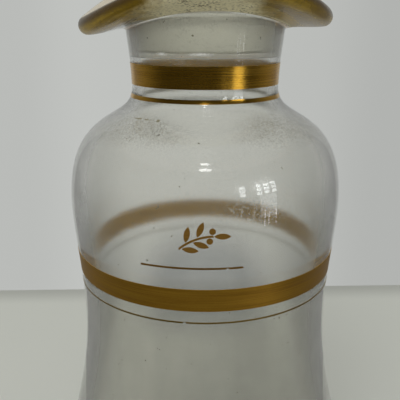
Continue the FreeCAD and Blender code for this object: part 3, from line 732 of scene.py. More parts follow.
def turned_piece(name, section_of, material, steps_round, from_angle=0.0, to_angle=2 * math.pi):
    """Object turned from a section, whose points and marks section_of gives at a wave and a tilt."""
    lip = settings().lip
    points, marks = section_of(0, 0)
    tilt = lip.back_tilt
    waves = [section_of(wave, 0)[0] for wave in (1, -1)]
    tilts = [section_of(0, lean)[0] for lean in (tilt, -tilt)]

    mesh = bpy.data.meshes.new(name)
    mesh.from_pydata([(point.x, 0, point.y) for point in points], [], [])
    for key in ("saddle_shift", "tilt_shift"):
        mesh.attributes.new(key, "FLOAT_VECTOR", "POINT")
    for key in ("marked", "run"):
        mesh.attributes.new(key, "FLOAT", "POINT")
    kept = mesh.attributes
    run = 0.0
    for index in range(len(points)):
        run += (points[index] - points[max(index - 1, 0)]).length
        kept["run"].data[index].value = run
        wide = (waves[0][index] - waves[1][index]) / 2
        lean = (tilts[0][index] - tilts[1][index]) / (2 * tilt)
        kept["saddle_shift"].data[index].vector = (wide.x, 0, wide.y)
        kept["tilt_shift"].data[index].vector = (lean.x, 0, lean.y)
        kept["marked"].data[index].value = marks.get(index, 0.0)

    piece = bpy.data.objects.new(name, mesh)
    bpy.context.scene.collection.objects.link(piece)
    tree = bpy.data.node_groups.get("lathe") or lathe_tree()
    lathe = piece.modifiers.new("lathe", "NODES")
    lathe.node_group = tree
    keys = {item.name: item.identifier for item in tree.interface.items_tree}
    for key, value in (
        ("Steps Round", steps_round),
        ("From Angle", from_angle),
        ("To Angle", to_angle),
        ("Saddle Turn", lip.turn),
        ("Side Tilt", lip.side_tilt),
        ("Back Tilt", lip.back_tilt),
        ("Merge Distance", MERGE_DISTANCE),
        ("Sharp Angle", SHARP_ANGLE),
        ("Material", material),
    ):
        lathe[keys[key]] = value
    bpy.context.view_layer.update()
    finished = piece.evaluated_get(bpy.context.evaluated_depsgraph_get())
    plain = bpy.data.meshes.new_from_object(finished)
    piece.modifiers.clear()
    piece.data = plain
    bpy.data.meshes.remove(mesh)
    plain.name = name
    plain.materials.clear()
    plain.materials.append(material)
    plain.polygons.foreach_set("material_index", [0] * len(plain.polygons))
    return piece


# Materials

def new_material(name):
    """Empty material with its tree, its shader and the piece's own coordinates."""
    material = bpy.data.materials.new(name)
    material.use_nodes = True
    tree = material.node_tree
    tree.nodes.clear()
    shader = tree.nodes.new("ShaderNodeBsdfPrincipled")
    wire(tree, "ShaderNodeOutputMaterial", {"Surface": shader.outputs[0]})
    place = tree.nodes.new("ShaderNodeTexCoord").outputs["Object"]
    return material, tree, shader.inputs, place


def noise(tree, place, scale, detail=3.0, roughness=0.55, stretch=None):
    """Noise value on the piece's coordinates, with features of about 1/scale metres."""
    if stretch:
        place = wire(tree, "ShaderNodeMapping", {"Vector": place, "Scale": stretch}).outputs[0]
    made = wire(tree, "ShaderNodeTexNoise",
                {"Vector": place, "Scale": scale, "Detail": detail, "Roughness": roughness})
    return made.outputs["Fac"]


def ramp(tree, value, low, high, to_low=0.0, to_high=1.0):
    """Value taken smoothly from one range to another."""
    made = wire(tree, "ShaderNodeMapRange", {
        "Value": value, "From Min": low, "From Max": high, "To Min": to_low, "To Max": to_high,
    }, interpolation_type="SMOOTHSTEP")
    return made.outputs[0]


def blend(tree, share_socket, first, second):
    """Colour between two colours."""
    colours = []
    for tone in (first, second):
        colours.append(tone if isinstance(tone, bpy.types.NodeSocket) else (*tone, 1.0))
    made = wire(tree, "ShaderNodeMix", {
        MIX_SHARE: share_socket, MIX_FIRST: colours[0], MIX_SECOND: colours[1],
    }, data_type="RGBA")
    return made.outputs[MIX_COLOUR]


def kept_value(tree, name):
    """Value stored on the piece, such as the marked rows or the run along the section."""
    return wire(tree, "ShaderNodeAttribute", attribute_name=name).outputs["Fac"]


def on_glass(bottle, turn, height):
    """Point on the outer wall at an angle to the right of the front and at a height."""
    radius = place_at(body_curves(bottle.body, bottle.lip), height)[0].x
    return Vector((radius * math.sin(turn), -radius * math.cos(turn), height))


def mark(tree, place, centre, size, turn=0.0, soft=0.5):
    """Soft oval mark: 1 inside, 0 outside its half sizes along, through and up the wall."""
    local = wire(tree, "ShaderNodeMapping", {
        "Vector": place, "Location": centre, "Rotation": (0.0, 0.0, turn), "Scale": size,
    }, vector_type="TEXTURE").outputs[0]
    reach = wire(tree, "ShaderNodeVectorMath", {0: local}, operation="LENGTH").outputs["Value"]
    return ramp(tree, reach, 1.0, 1.0 - soft)


def dust_marks(tree, place, bottle):
    """Two patches of speckled dust on the shoulder."""
    glass = bottle.glass
    size = (glass.dust_width, glass.dust_depth, glass.dust_rise)
    patches = 0.0
    for turn in (glass.dust_left_turn, glass.dust_right_turn):
        patch = mark(tree, place, on_glass(bottle, turn, glass.dust_height), size, turn, soft=0.6)
        patches = calc(tree, "ADD", patch, patches)
    specks = ramp(tree, noise(tree, place, 2100.0, detail=1.0), 0.42, 0.62, 0.0, glass.dust)
    veil = ramp(tree, noise(tree, place, 420.0, detail=2.0), 0.35, 0.65, 0.45, 1.0)
    speckled = calc(tree, "MULTIPLY", veil, calc(tree, "ADD", specks, glass.dust_thin))
    return calc(tree, "MULTIPLY", patches, speckled)


def pale_neck_patches(tree, place, bottle):
    """Two pale patches on the front of the neck."""
    glass = bottle.glass
    pale_spots = 0.0
    for turn, width in (
        (glass.patch_turn, glass.patch_width),
        (glass.patch_left_turn, 0.5 * glass.patch_width),
    ):
        centre = on_glass(bottle, turn, glass.patch_height)
        smear = mark(tree, place, centre, (width, width, glass.patch_rise), turn, soft=0.8)
        pale_spots = calc(tree, "ADD", smear, pale_spots)
    return calc(tree, "MULTIPLY", pale_spots, ramp(tree, noise(tree, place, 500.0), 0.35, 0.6, 0.15, 0.75))


def scratch_marks(tree, place, bottle):
    """A broken scratch on the shoulder with a nick at its end."""
    glass = bottle.glass
    centre = on_glass(bottle, glass.scratch_turn, glass.scratch_height)
    size = (glass.scratch_length, glass.scratch_length, glass.scratch_width)
    line = mark(tree, place, centre, size, glass.scratch_turn)
    broken = calc(tree, "MULTIPLY", line, ramp(tree, noise(tree, place, 700.0), 0.38, 0.5))
    centre = on_glass(bottle, glass.nick_turn, glass.scratch_height)
    nick = mark(tree, place, centre, [glass.nick_size] * 3, glass.nick_turn)
    return calc(tree, "MAXIMUM", broken, nick)


def run_to(points, number):
    """Distance along a section from its first point to the point of a number."""
    return sum((points[index + 1] - points[index]).length for index in range(number))


def inside_mask(tree, bottle):
    """1 on the inside of the bottle, past the tip of its lip, and 0 on its outside and on the stopper."""
    body, lip = bottle.body, bottle.lip
    tip = len(underside_points(body)) + len(wall_rows(body, lip)) + lip.brim_steps + lip.roll_steps // 2
    start = run_to(glass_section(bottle, 0, 0)[0], tip)
    return ramp(tree, kept_value(tree, "run"), start + INSIDE_FROM, start + INSIDE_TO)


def clear_glass(bottle):
    """Old clear glass: uneven haze, dried oil inside, dust, bloom, pale patches on the neck, a scratch and
    a ground seat, with painted shade in the oil's tint and at the back, and a painted yellow reflection on
    the ground seat.
    """
    glass = bottle.glass
    material, tree, shader, place = new_material("old_clear_glass")
    height = parts_of(tree, place)[2]
    clouds = noise(tree, place, 45.0)
    grain = noise(tree, place, 1700.0, detail=2.0)
    clumps = noise(tree, place, 280.0, detail=4.0)
    streaks = noise(tree, place, 40.0, stretch=(1.0, 1.0, 60.0))
    runs = noise(tree, place, 90.0, stretch=(1.0, 1.0, 0.06))
    ground = kept_value(tree, "marked")
    inside = inside_mask(tree, bottle)
    facing = wire(tree, "ShaderNodeLayerWeight", {"Blend": 0.5}).outputs["Facing"]
    slant = calc(tree, "MAXIMUM", calc(tree, "SUBTRACT", 1.0, facing), glass.least_slant)

    specks = ramp(tree, noise(tree, place, 900.0, detail=1.0), 0.765, 0.80)
    marks = calc(tree, "MAXIMUM", scratch_marks(tree, place, bottle), specks)
    dirt = calc(tree, "MAXIMUM", dust_marks(tree, place, bottle), marks)
    sprinkle = ramp(tree, grain, 0.5, 0.68, 0.0, glass.sprinkle)
    upper = ramp(tree, height, glass.oil_height, glass.oil_height + glass.sprinkle_rise)
    outside = calc(tree, "SUBTRACT", 1.0, inside)
    for mask in (ramp(tree, clumps, 0.35, 0.6), upper, outside):
        sprinkle = calc(tree, "MULTIPLY", sprinkle, mask)
    dirt = calc(tree, "MAXIMUM", dirt, sprinkle)
    # Two pale white patches on the front of the neck
    pale_patches = pale_neck_patches(tree, place, bottle)
    centre = on_glass(bottle, glass.bloom_turn, glass.bloom_height)
    size = (glass.bloom_width, glass.bloom_depth, glass.bloom_rise)
    bloom = mark(tree, place, centre, size, glass.bloom_turn, soft=0.8)
    bloom = calc(tree, "MULTIPLY", bloom, ramp(tree, grain, 0.5, 0.64, 0.02, 0.26))

    wavering = calc(tree, "MULTIPLY_ADD", clouds, glass.oil_waver, height)
    dried = ramp(tree, wavering, glass.oil_height + glass.oil_above, glass.oil_height - glass.oil_below)
    dried = calc(tree, "MULTIPLY", dried, ramp(tree, clumps, 0.3, 0.6, 0.8, 1.0))
    dried = calc(tree, "MULTIPLY", dried, inside)
    # Painted shade: a darker grey patch inside the back wall, for the shaded table seen through the lower
    # body
    back = on_glass(bottle, math.pi, glass.back_shade_height)
    painted_back_shade = mark(tree, place, back, (glass.back_shade_width, glass.back_shade_width, glass.back_shade_rise), soft=0.6)
    painted_back_shade = calc(tree, "MULTIPLY", painted_back_shade, inside)

    haze = ramp(tree, clouds, 0.3, 0.7, 0.6 * glass.haze, 1.4 * glass.haze)
    haze = calc(tree, "DIVIDE", haze, slant)
    film = calc(tree, "MULTIPLY_ADD", dirt, glass.dirt_cover, haze)
    oil = ramp(tree, runs, 0.35, 0.65, glass.oil_thin, glass.oil_thick)
    film = calc(tree, "MULTIPLY_ADD", dried, oil, film)
    film = calc(tree, "MULTIPLY_ADD", ground, glass.ground_haze, film)
    film = calc(tree, "ADD", calc(tree, "ADD", film, bloom), pale_patches)
    tree.links.new(calc(tree, "SUBTRACT", 1.0, film), shader["Transmission Weight"])
    # Below the oil height the glass takes a darker tint: dried oil, and painted shade over the lower body
    clean = blend(tree, dried, glass.tint, glass.residue_and_shade)
    # The painted shade at the back darkens the glass here
    clean = blend(tree, painted_back_shade, clean, glass.painted_back_shade)
    # Ground glass, yellowed by a painted reflection of the gilding
    clean = blend(tree, calc(tree, "MINIMUM", ground, 1.0), clean, glass.ground)
    clean = blend(tree, bloom, clean, glass.bloom)
    clean = blend(tree, pale_patches, clean, glass.patch_tone)
    tree.links.new(blend(tree, dirt, clean, glass.grime), shader["Base Color"])
    rough = ramp(tree, clouds, 0.3, 0.7, 0.7 * glass.polish, 1.3 * glass.polish)
    rough = calc(tree, "MULTIPLY_ADD", inside, glass.smear, rough)
    ground_rough = ramp(tree, streaks, 0.3, 0.7, 0.85 * glass.frost, 1.1 * glass.frost)
    tree.links.new(calc(tree, "MULTIPLY_ADD", ground, ground_rough, rough), shader["Roughness"])
    shader["IOR"].default_value = glass.refraction
    ripples = noise(tree, place, 35.0, detail=1.0, stretch=(1.0, 1.0, 0.5))
    bump = wire(tree, "ShaderNodeBump", {"Strength": 0.25, "Distance": glass.ripple, "Height": ripples})
    tree.links.new(bump.outputs[0], shader["Normal"])
    return material


def chip_marks(tree, place, bottle):
    """Chips in the waist line and in the underline."""
    gilding = bottle.gilding
    chips = 0.0
    for turn, node in (
        (gilding.waist_chip_turn, "waist_gilt_line"),
        (gilding.underline_chip_turn, "panel_underline"),
    ):
        spot = on_glass(bottle, turn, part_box(node)[0].z)
        chips = calc(tree, "MAXIMUM", mark(tree, place, spot, [gilding.chip_width] * 3), chips)
    return chips


def fired_gold(bottle, name, low, high, back, ringed, metal, satin):
    """Fired gold, brushed on in rings or by hand and chipped, with a dull back towards the glass."""
    material, tree, shader, place = new_material(name)
    x, y, height = parts_of(tree, place)
    brushed = joined(tree, x, y, kept_value(tree, "run") if ringed else height)
    strokes = noise(tree, brushed, 50.0, detail=4.0, stretch=(1.0, 1.0, 70.0))
    grain = noise(tree, place, 2600.0, detail=2.0)
    under = kept_value(tree, "marked")
    chips = chip_marks(tree, place, bottle)
    tone = calc(tree, "MULTIPLY_ADD", grain, 0.25, calc(tree, "MULTIPLY", strokes, 0.95))
    face = blend(tree, ramp(tree, tone, 0.4, 0.8), low, high)
    face = blend(tree, under, face, back)
    tree.links.new(blend(tree, chips, face, bottle.gilding.bare), shader["Base Color"])
    rough = ramp(tree, tone, 0.4, 0.8, 0.85 * satin, 1.2 * satin)
    tree.links.new(calc(tree, "MULTIPLY_ADD", under, 0.3, rough), shader["Roughness"])
    dull = calc(tree, "MAXIMUM", calc(tree, "MULTIPLY", under, 0.85), chips)
    tree.links.new(ramp(tree, dull, 0.0, 1.0, metal, 0.0), shader["Metallic"])
    depth = bottle.gilding.stroke_depth
    bump = wire(tree, "ShaderNodeBump", {"Strength": 0.3, "Distance": depth, "Height": strokes})
    tree.links.new(bump.outputs[0], shader["Normal"])
    shader["Anisotropic"].default_value = 0.7
    shader["Anisotropic Rotation"].default_value = 0.25
    return material


def worn_gold(bottle):
    """Old gilding of the lip: streaked, rubbed grey and pitted at the front, pale on its hem, with a
    painted dark reflection round its roll and a rubbed rim paled by a painted reflection.
    """
    gilding, lip = bottle.gilding, bottle.lip
    material, tree, shader, place = new_material("lip_gold")
    x, y, _ = parts_of(tree, place)
    run = kept_value(tree, "run")
    under = kept_value(tree, "marked")
    streaks = noise(tree, joined(tree, x, y, run), 45.0, stretch=(1.0, 1.0, 4.5))
    clouds = noise(tree, place, 160.0, detail=4.0)
    grain = noise(tree, place, 1500.0)

    middle = ramp(tree, calc(tree, "ABSOLUTE", x), gilding.rub_reach, gilding.rub_core)
    rubbed = calc(tree, "MULTIPLY_ADD", middle, 0.5, calc(tree, "MULTIPLY", clouds, 0.6))
    rubbed = ramp(tree, rubbed, 0.42, 0.72)
    spread = ramp(tree, middle, 0.0, 1.0, 0.35, 1.0)
    pits = calc(tree, "MULTIPLY", ramp(tree, calc(tree, "ADD", grain, clouds), 1.09, 1.25), spread)
    wavering = calc(tree, "MULTIPLY_ADD", clouds, -gilding.hem_waver, run)
    hem = ramp(tree, wavering, gilding.hem_outer, gilding.hem_inner)
    tip = run_to(lip_film_section(bottle, 0, 0)[0], lip.brim_steps + lip.roll_steps // 2)
    quarter = lip.roll_radius * math.pi / 2
    top = tip + quarter
    # Rubbed rim on the roll's top and into the mouth, paler as a painted reflection of the pale wall
    rim = calc(tree, "MULTIPLY", ramp(tree, run, tip + 0.45 * quarter, tip + 0.85 * quarter),
               ramp(tree, run, top + gilding.rim_reach, top + gilding.rim_core))
    # Painted shade: a dark band round the rolled edge, a painted reflection of the dim room
    shade = calc(tree, "MULTIPLY", ramp(tree, run, tip - 0.35 * quarter, tip + 0.1 * quarter),
                 ramp(tree, run, tip + 0.85 * quarter, tip + 0.45 * quarter))

    face = blend(tree, ramp(tree, streaks, 0.36, 0.64), gilding.lip_deep, gilding.lip_bright)
    worn = calc(tree, "MAXIMUM", rubbed, hem)
    face = blend(tree, worn, face, gilding.worn)
    # Painted reflection: the dark band round the roll is laid on as colour
    face = blend(tree, shade, face, gilding.lip_mottle_and_shade)
    face = blend(tree, ramp(tree, grain, 0.42, 0.66, 0.0, 0.3), face, gilding.lip_mottle_and_shade)
    face = blend(tree, pits, face, gilding.pit)
    # The rim's pale colour is partly painted reflection
    face = blend(tree, rim, face, gilding.rim)
    tree.links.new(blend(tree, under, face, gilding.under), shader["Base Color"])
    rough = ramp(tree, streaks, 0.36, 0.64, 0.22, 0.34)
    rough = calc(tree, "MULTIPLY_ADD", calc(tree, "MAXIMUM", worn, under), 0.25, rough)
    tree.links.new(rough, shader["Roughness"])
    dull = calc(tree, "MAXIMUM", calc(tree, "MAXIMUM", worn, rim), calc(tree, "MAXIMUM", under, pits))
    tree.links.new(ramp(tree, dull, 0.0, 1.0, 0.35, 0.05), shader["Metallic"])
    bump = wire(tree, "ShaderNodeBump", {"Strength": 0.3, "Distance": gilding.pit_depth, "Height": grain})
    tree.links.new(bump.outputs[0], shader["Normal"])
    return material


def toned(tone, strength):
    """Colour times a strength."""
    return [channel * strength for channel in tone]


def gold_material(name):
    """Fired gold of a name, made the first time it is asked for."""
    bottle = settings()
    gilding = bottle.gilding
    painted_low, painted_high = toned(gilding.paint, 0.7), gilding.paint
    underline_low, underline_high = toned(gilding.paint, 0.4), toned(gilding.paint, 0.65)
    # Thin and thick colour, colour of the back, whether brushed in rings, share of metal, and roughness
    finishes = {
        "band_gold": (gilding.deep, gilding.bright, gilding.under, True, 1.0, 0.27),
        "waist_gold": (gilding.waist_deep, gilding.waist_bright, gilding.under, True, 0.7, 0.5),
        "burnished_gold": (gilding.deep, gilding.bright, gilding.under_fine, True, 1.0, 0.16),
        "line_gold": (toned(gilding.fine, 0.7), gilding.fine, gilding.under_fine, True, 0.8, 0.36),
        "underline_gold": (underline_low, underline_high, gilding.under, False, 0.5, 0.36),
        "painted_gold": (painted_low, painted_high, gilding.under, False, 0.5, 0.36),
    }
    return bpy.data.materials.get(name) or fired_gold(bottle, name, *finishes[name])


def glass_material():
    """The bottle's and stopper's glass, made the first time it is asked for."""
    return bpy.data.materials.get("old_clear_glass") or clear_glass(settings())


# Pieces

def fit(piece, node, body):
    """Piece that stands for a node of the frame, put on a body, with the node hidden."""
    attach(piece, body)
    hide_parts(node)


class OILBOTTLE_OT_blow_glass(bpy.types.Operator):
    """Blow the bottle: base, body, neck and saddle-shaped lip in one piece of glass"""
    bl_idname = "oil_bottle.blow_glass"
    bl_label = "Blow glass"

    def execute(self, context):
        bottle = settings()
        piece = turned_piece("bottle_glass", lambda wave, tilt: glass_section(bottle, wave, tilt),
                             glass_material(), bottle.body.steps_round)
        fit(piece, "glass_bottle", "bottle")
        return {"FINISHED"}


class OILBOTTLE_OT_grind_stopper(bpy.types.Operator):
    """Make the solid glass stopper with its ground plug"""
    bl_idname = "oil_bottle.grind_stopper"
    bl_label = "Grind stopper"

    def execute(self, context):
        bottle = settings()
        piece = turned_piece("stopper_glass", lambda wave, tilt: stopper_section(bottle),
                             glass_material(), bottle.body.steps_round)
        fit(piece, "stopper", "stopper")
        return {"FINISHED"}


class OILBOTTLE_OT_gild_lip(bpy.types.Operator):
    """Gild the lip from its underside round the rolled edge into the mouth"""
    bl_idname = "oil_bottle.gild_lip"
    bl_label = "Gild lip"

    def execute(self, context):
        bottle = settings()
        piece = turned_piece("lip_gilt", lambda wave, tilt: lip_film_section(bottle, wave, tilt),
                             worn_gold(bottle), bottle.body.steps_round)
        fit(piece, "lip_gilding", "bottle")
        return {"FINISHED"}


class OILBOTTLE_OT_gild_bands(bpy.types.Operator):
    """Brush the gilt bands and lines round the waist, neck and finial"""
    bl_idname = "oil_bottle.gild_bands"
    bl_label = "Gild bands"

    def execute(self, context):
        bottle = settings()
        profiles = {
            "bottle": body_curves(bottle.body, bottle.lip),
            "stopper": stopper_curves(bottle),
        }
        for node, body, gold in (
            ("neck_gilt_band", "bottle", "band_gold"),
            ("neck_gilt_line", "bottle", "burnished_gold"),
            ("waist_gilt_band", "bottle", "waist_gold"),
            ("waist_gilt_line", "bottle", "line_gold"),
            ("stopper_gilt_band", "stopper", "band_gold"),
            ("stopper_gilt_line", "stopper", "line_gold"),
        ):
            low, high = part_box(node)
            section = band_section(profiles[body], low.z, high.z, bottle.gilding)
            piece = turned_piece(node.replace("gilt", "gold"), lambda wave, tilt: section,
                                 gold_material(gold), bottle.body.steps_round)
            fit(piece, node, body)
        return {"FINISHED"}


class OILBOTTLE_OT_paint_panel(bpy.types.Operator):
    """Gild the underline and the olive sprig on the front"""
    bl_idname = "oil_bottle.paint_panel"
    bl_label = "Paint panel"

    def execute(self, context):
        for node, gold in (
            ("panel_underline", "underline_gold"),
            ("sprig_stem", "painted_gold"),
            ("sprig_leaves", "painted_gold"),
            ("sprig_olives", "painted_gold"),
        ):
            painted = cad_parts[node]
            painted.data.materials.clear()
            painted.data.materials.append(gold_material(gold))
        return {"FINISHED"}


# Stage, with its lights in degrees, metres and watts

# Width of the camera's sensor in millimetres, and the nearest that it sees in metres
CAMERA_SENSOR = 36.0
CAMERA_NEAR = 0.01

# Azimuths of the dim room's corners, the height that is lit, and the window's place and colour
ROOM_TURNS = range(-140, 141, 5)
LIT_HEIGHT = 0.125
WINDOW_TINT = (0.95, 0.98, 1.0)
WINDOW_DISTANCE = 0.7

# Elevation, width, height and power of each lamp
LAMPS = (
    (43.0, 0.19, 0.09, 0.34),
    (52.0, 0.12, 0.08, 0.20),
    (97.0, 0.13, 0.08, 0.40),
)
LAMP_DISTANCE = 1.1

# Azimuth and width of each column of window panes, and elevation of each row
PANE_COLUMNS = ((29.5, 0.055), (43.0, 0.05), (49.5, 0.05), (56.0, 0.05))
PANE_ROWS = (9.3, 13.0, 16.7)
PANE_HEIGHT = 0.036
PANE_POWER = 0.045

# Bright bars low on the right, which the neck shows as fine lines
BAR_AZIMUTHS = (45.5, 49.0, 55.0)
BAR_ELEVATION = -14.5
BAR_DISTANCE = 0.4
BAR_FACING = 0.16
BAR_SIZE = (0.004, 0.06)
BAR_POWER = 0.005

# Glow low on the right, which the neck's band shows as its highlight
GLOW_AZIMUTH = 50.0
GLOW_ELEVATION = -9.0
GLOW_CENTRE = 0.22
GLOW_SIZE = (0.17, 0.2)
GLOW_POWER = 0.22

# Soft light over the front's left
KEY_AZIMUTH = -16.0
KEY_ELEVATION = 50.0
KEY_DISTANCE = 1.6
KEY_SIZE = (0.9, 0.9)
KEY_POWER = 8.0


def add_mesh(name, corners, faces, material):
    """Mesh object from corners and faces."""
    mesh = bpy.data.meshes.new(name)
    mesh.from_pydata(corners, [], faces)
    mesh.materials.append(material)
    made = bpy.data.objects.new(name, mesh)
    bpy.context.scene.collection.objects.link(made)
    return made


def table_material(stage):
    """Pale matt table top, shaded along its far edge and, for the glass alone, to its sides."""
    material, tree, shader, place = new_material("table_top")
    cloud = noise(tree, place, 9.0)
    x, y, _ = parts_of(tree, place)
    edge = calc(tree, "SUBTRACT", calc(tree, "MULTIPLY_ADD", x, stage.table_skew, stage.table_depth), y)
    shade = ramp(tree, edge, 0.0, stage.edge_width, 1.0, 0.0)
    plain = blend(tree, cloud, toned(stage.table_top, 0.97), stage.table_top)
    shaded = blend(tree, shade, plain, toned(stage.table_top, stage.edge_shade))
    aside = ramp(tree, calc(tree, "ABSOLUTE", x), stage.table_from, stage.table_to)
    path = tree.nodes.new("ShaderNodeLightPath").outputs
    aside = calc(tree, "MULTIPLY", aside, path["Is Transmission Ray"])
    dim = toned(stage.table_top, stage.side_table)
    tree.links.new(blend(tree, aside, shaded, dim), shader["Base Color"])
    shader["Roughness"].default_value = 0.6
    shader["Specular IOR Level"].default_value = 0.0
    return material


def sideways_and_back(tree, place):
    """How far a direction, laid level, points to the right and backwards."""
    x, y, _ = parts_of(tree, place)
    level = wire(tree, "ShaderNodeVectorMath", {0: joined(tree, x, y, 0.0)}, operation="NORMALIZE")
    right, back, _ = parts_of(tree, level.outputs[0])
    return right, back


def room_material(stage):
    """Dim room that only glows, and grows lighter from the front round to the sides."""
    material = bpy.data.materials.new("dim_room")
    material.use_nodes = True
    tree = material.node_tree
    tree.nodes.clear()
    _, back = sideways_and_back(tree, tree.nodes.new("ShaderNodeTexCoord").outputs["Object"])
    strength = ramp(tree, back, stage.room_dark, stage.room_light, stage.room_front, stage.room_side)
    glow = wire(tree, "ShaderNodeEmission", {"Color": (*stage.room, 1.0), "Strength": strength})
    wire(tree, "ShaderNodeOutputMaterial", {"Surface": glow.outputs[0]})
    return material


def show_only_to(thing, *rays):
    """Hide a thing of the stage from all but some kinds of ray."""
    for kind in ("camera", "diffuse", "glossy", "transmission", "volume_scatter", "shadow"):
        setattr(thing, "visible_" + kind, kind in rays)


def lay_table(stage):
    """Pale table whose far edge runs a little askew behind the bottle."""
    reach, depth = stage.table_reach, stage.table_depth
    slant = stage.table_skew * reach
    corners = [(-reach, -reach, 0), (reach, -reach, 0)]
    corners += [(reach, depth + slant, 0), (-reach, depth - slant, 0)]
    add_mesh("table", corners, [(0, 1, 2, 3)], table_material(stage))


def stand_room(stage):
    """Dim room that the gilding and the glass reflect in front."""
    near, far, lift = stage.room_near, stage.room_far, stage.room_lift
    corners = []
    for out, height in ((near, lift), (far, lift), (far, stage.room_height)):
        corners += [tuple(round_spot(turn, 0, out, (0, 0, height))) for turn in ROOM_TURNS]
    row = len(ROOM_TURNS)
    faces = []
    for first in (0, row):
        for low in range(first, first + row - 1):
            faces.append((low, low + 1, low + row + 1, low + row))
    room = add_mesh("dim_room", corners, faces, room_material(stage))
    show_only_to(room, "glossy")


def pale_world(stage):
    """Pale wall: dimmer to the right, brighter behind the bottle, dim at its sides for the glass alone."""
    world = bpy.data.worlds.new("pale_room")
    world.use_nodes = True
    tree = world.node_tree
    way = tree.nodes.new("ShaderNodeTexCoord").outputs["Generated"]
    x, _, height = parts_of(tree, way)
    across = ramp(tree, x, -stage.wall_fade, stage.wall_fade)
    tone = blend(tree, across, stage.wall, toned(stage.wall, stage.wall_right))
    side = calc(tree, "ABSOLUTE", sideways_and_back(tree, way)[0])
    deepest = ramp(tree, height, stage.wall_foot, stage.wall_top,
                   stage.side_low - 1.0, stage.side_high - 1.0)
    loss = ramp(tree, side, math.sin(stage.side_from), math.sin(stage.side_to))
    loss = calc(tree, "MULTIPLY", loss, deepest)
    path = tree.nodes.new("ShaderNodeLightPath").outputs
    strength = ramp(tree, side, math.sin(stage.glow_from), math.sin(stage.glow_to), stage.glow, 1.0)
    strength = calc(tree, "MULTIPLY_ADD", path["Is Transmission Ray"], loss, strength)
    strength = calc(tree, "MULTIPLY_ADD", path["Is Diffuse Ray"], stage.ambient - 1.0, strength)
    tree.links.new(tone, tree.nodes["Background"].inputs["Color"])
    tree.links.new(strength, tree.nodes["Background"].inputs["Strength"])
    return world


def add_light(name, spot, target, size, power, tint=(1.0, 1.0, 1.0), shape="RECTANGLE"):
    """Soft area light that faces a target."""
    lamp = bpy.data.lights.new(name, "AREA")
    lamp.shape = shape
    lamp.size, lamp.size_y = size
    lamp.energy = power
    lamp.color = tint
    made = bpy.data.objects.new(name, lamp)
    made.location = spot
    made.rotation_euler = (Vector(target) - Vector(spot)).to_track_quat("-Z", "Y").to_euler()
    bpy.context.scene.collection.objects.link(made)
    return made


def round_spot(azimuth, elevation, distance, centre):
    """Point at a distance from a centre, at an azimuth right of the front and an elevation in degrees."""
    turn, rise = math.radians(azimuth), math.radians(elevation)
    out = Vector((math.sin(turn) * math.cos(rise), -math.cos(turn) * math.cos(rise), math.sin(rise)))
    return Vector(centre) + out * distance


def light_room():
    """Lamps above the front, a window with its bars and low glow on the right, and a soft key."""
    middle = (0, 0, LIT_HEIGHT)
    for elevation, width, height, power in LAMPS:
        spot = round_spot(0.0, elevation, LAMP_DISTANCE, middle)
        lamp = add_light("lamp", spot, middle, (width, height), power, shape="ELLIPSE")
        show_only_to(lamp, "glossy", "transmission")
    for azimuth, width in PANE_COLUMNS:
        for elevation in PANE_ROWS:
            spot = round_spot(azimuth, elevation, WINDOW_DISTANCE, middle)
            pane = add_light("window_pane", spot, middle, (width, PANE_HEIGHT), PANE_POWER, WINDOW_TINT)
            show_only_to(pane, "glossy", "transmission")
    neck = (0, 0, BAR_FACING)
    for azimuth in BAR_AZIMUTHS:
        spot = round_spot(azimuth, BAR_ELEVATION, BAR_DISTANCE, neck)
        bar = add_light("window_bar", spot, neck, BAR_SIZE, BAR_POWER)
        show_only_to(bar, "glossy")
    spot = round_spot(GLOW_AZIMUTH, GLOW_ELEVATION, WINDOW_DISTANCE, (0, 0, GLOW_CENTRE))
    glow = add_light("window_glow", spot, (0, 0, spot.z), GLOW_SIZE, GLOW_POWER, WINDOW_TINT)
    show_only_to(glow, "glossy")
    spot = round_spot(KEY_AZIMUTH, KEY_ELEVATION, KEY_DISTANCE, middle)
    key = add_light("front_key", spot, middle, KEY_SIZE, KEY_POWER)
    show_only_to(key, "diffuse", "shadow")


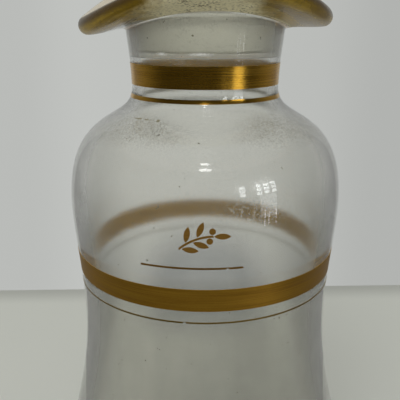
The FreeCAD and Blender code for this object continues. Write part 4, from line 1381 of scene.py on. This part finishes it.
class OILBOTTLE_OT_set_stage(bpy.types.Operator):
    """Lay the table, light the room and set the camera"""
    bl_idname = "oil_bottle.set_stage"
    bl_label = "Set stage"

    def execute(self, context):
        stage = settings().stage
        scene = context.scene
        lay_table(stage)
        stand_room(stage)
        light_room()
        scene.world = pale_world(stage)
        camera = bpy.data.cameras.new("camera")
        camera.sensor_width = CAMERA_SENSOR
        camera.lens = stage.camera_lens
        camera.clip_start = CAMERA_NEAR
        made = bpy.data.objects.new("camera", camera)
        made.location = (stage.camera_side, -stage.camera_front, stage.camera_height)
        made.rotation_euler = (math.pi / 2 - stage.camera_pitch, 0, 0)
        scene.collection.objects.link(made)
        scene.camera = made
        scene.view_settings.view_transform = "Standard"
        return {"FINISHED"}


class OILBOTTLE_PT_panel(bpy.types.Panel):
    """Settings and steps of the oil bottle"""
    bl_label = "Oil bottle"
    bl_idname = "OILBOTTLE_PT_panel"
    bl_space_type = "VIEW_3D"
    bl_region_type = "UI"
    bl_category = "Oil bottle"

    def draw(self, context):
        for operator in OPERATORS:
            self.layout.operator(operator.bl_idname)
        for group, kind in SETTINGS.items():
            box = self.layout.box()
            box.label(text=kind.__doc__)
            for name in kind.__annotations__:
                box.prop(getattr(context.scene.oil_bottle, group), name)


OPERATORS = (
    OILBOTTLE_OT_blow_glass,
    OILBOTTLE_OT_grind_stopper,
    OILBOTTLE_OT_gild_lip,
    OILBOTTLE_OT_gild_bands,
    OILBOTTLE_OT_paint_panel,
    OILBOTTLE_OT_set_stage,
)
CLASSES = (*SETTINGS.values(), BottleSettings, *OPERATORS, OILBOTTLE_PT_panel)


def register():
    """Register the settings, steps and panel."""
    for kind in CLASSES:
        bpy.utils.register_class(kind)
    bpy.types.Scene.oil_bottle = PointerProperty(type=BottleSettings)


def unregister():
    """Take the settings, steps and panel out again."""
    del bpy.types.Scene.oil_bottle
    for kind in reversed(CLASSES):
        bpy.utils.unregister_class(kind)


def main():
    """Build every piece and the stage."""
    register()
    bpy.ops.oil_bottle.blow_glass()
    bpy.ops.oil_bottle.grind_stopper()
    bpy.ops.oil_bottle.gild_lip()
    bpy.ops.oil_bottle.gild_bands()
    bpy.ops.oil_bottle.paint_panel()
    bpy.ops.oil_bottle.set_stage()


if __name__ == "__main__":
    main()
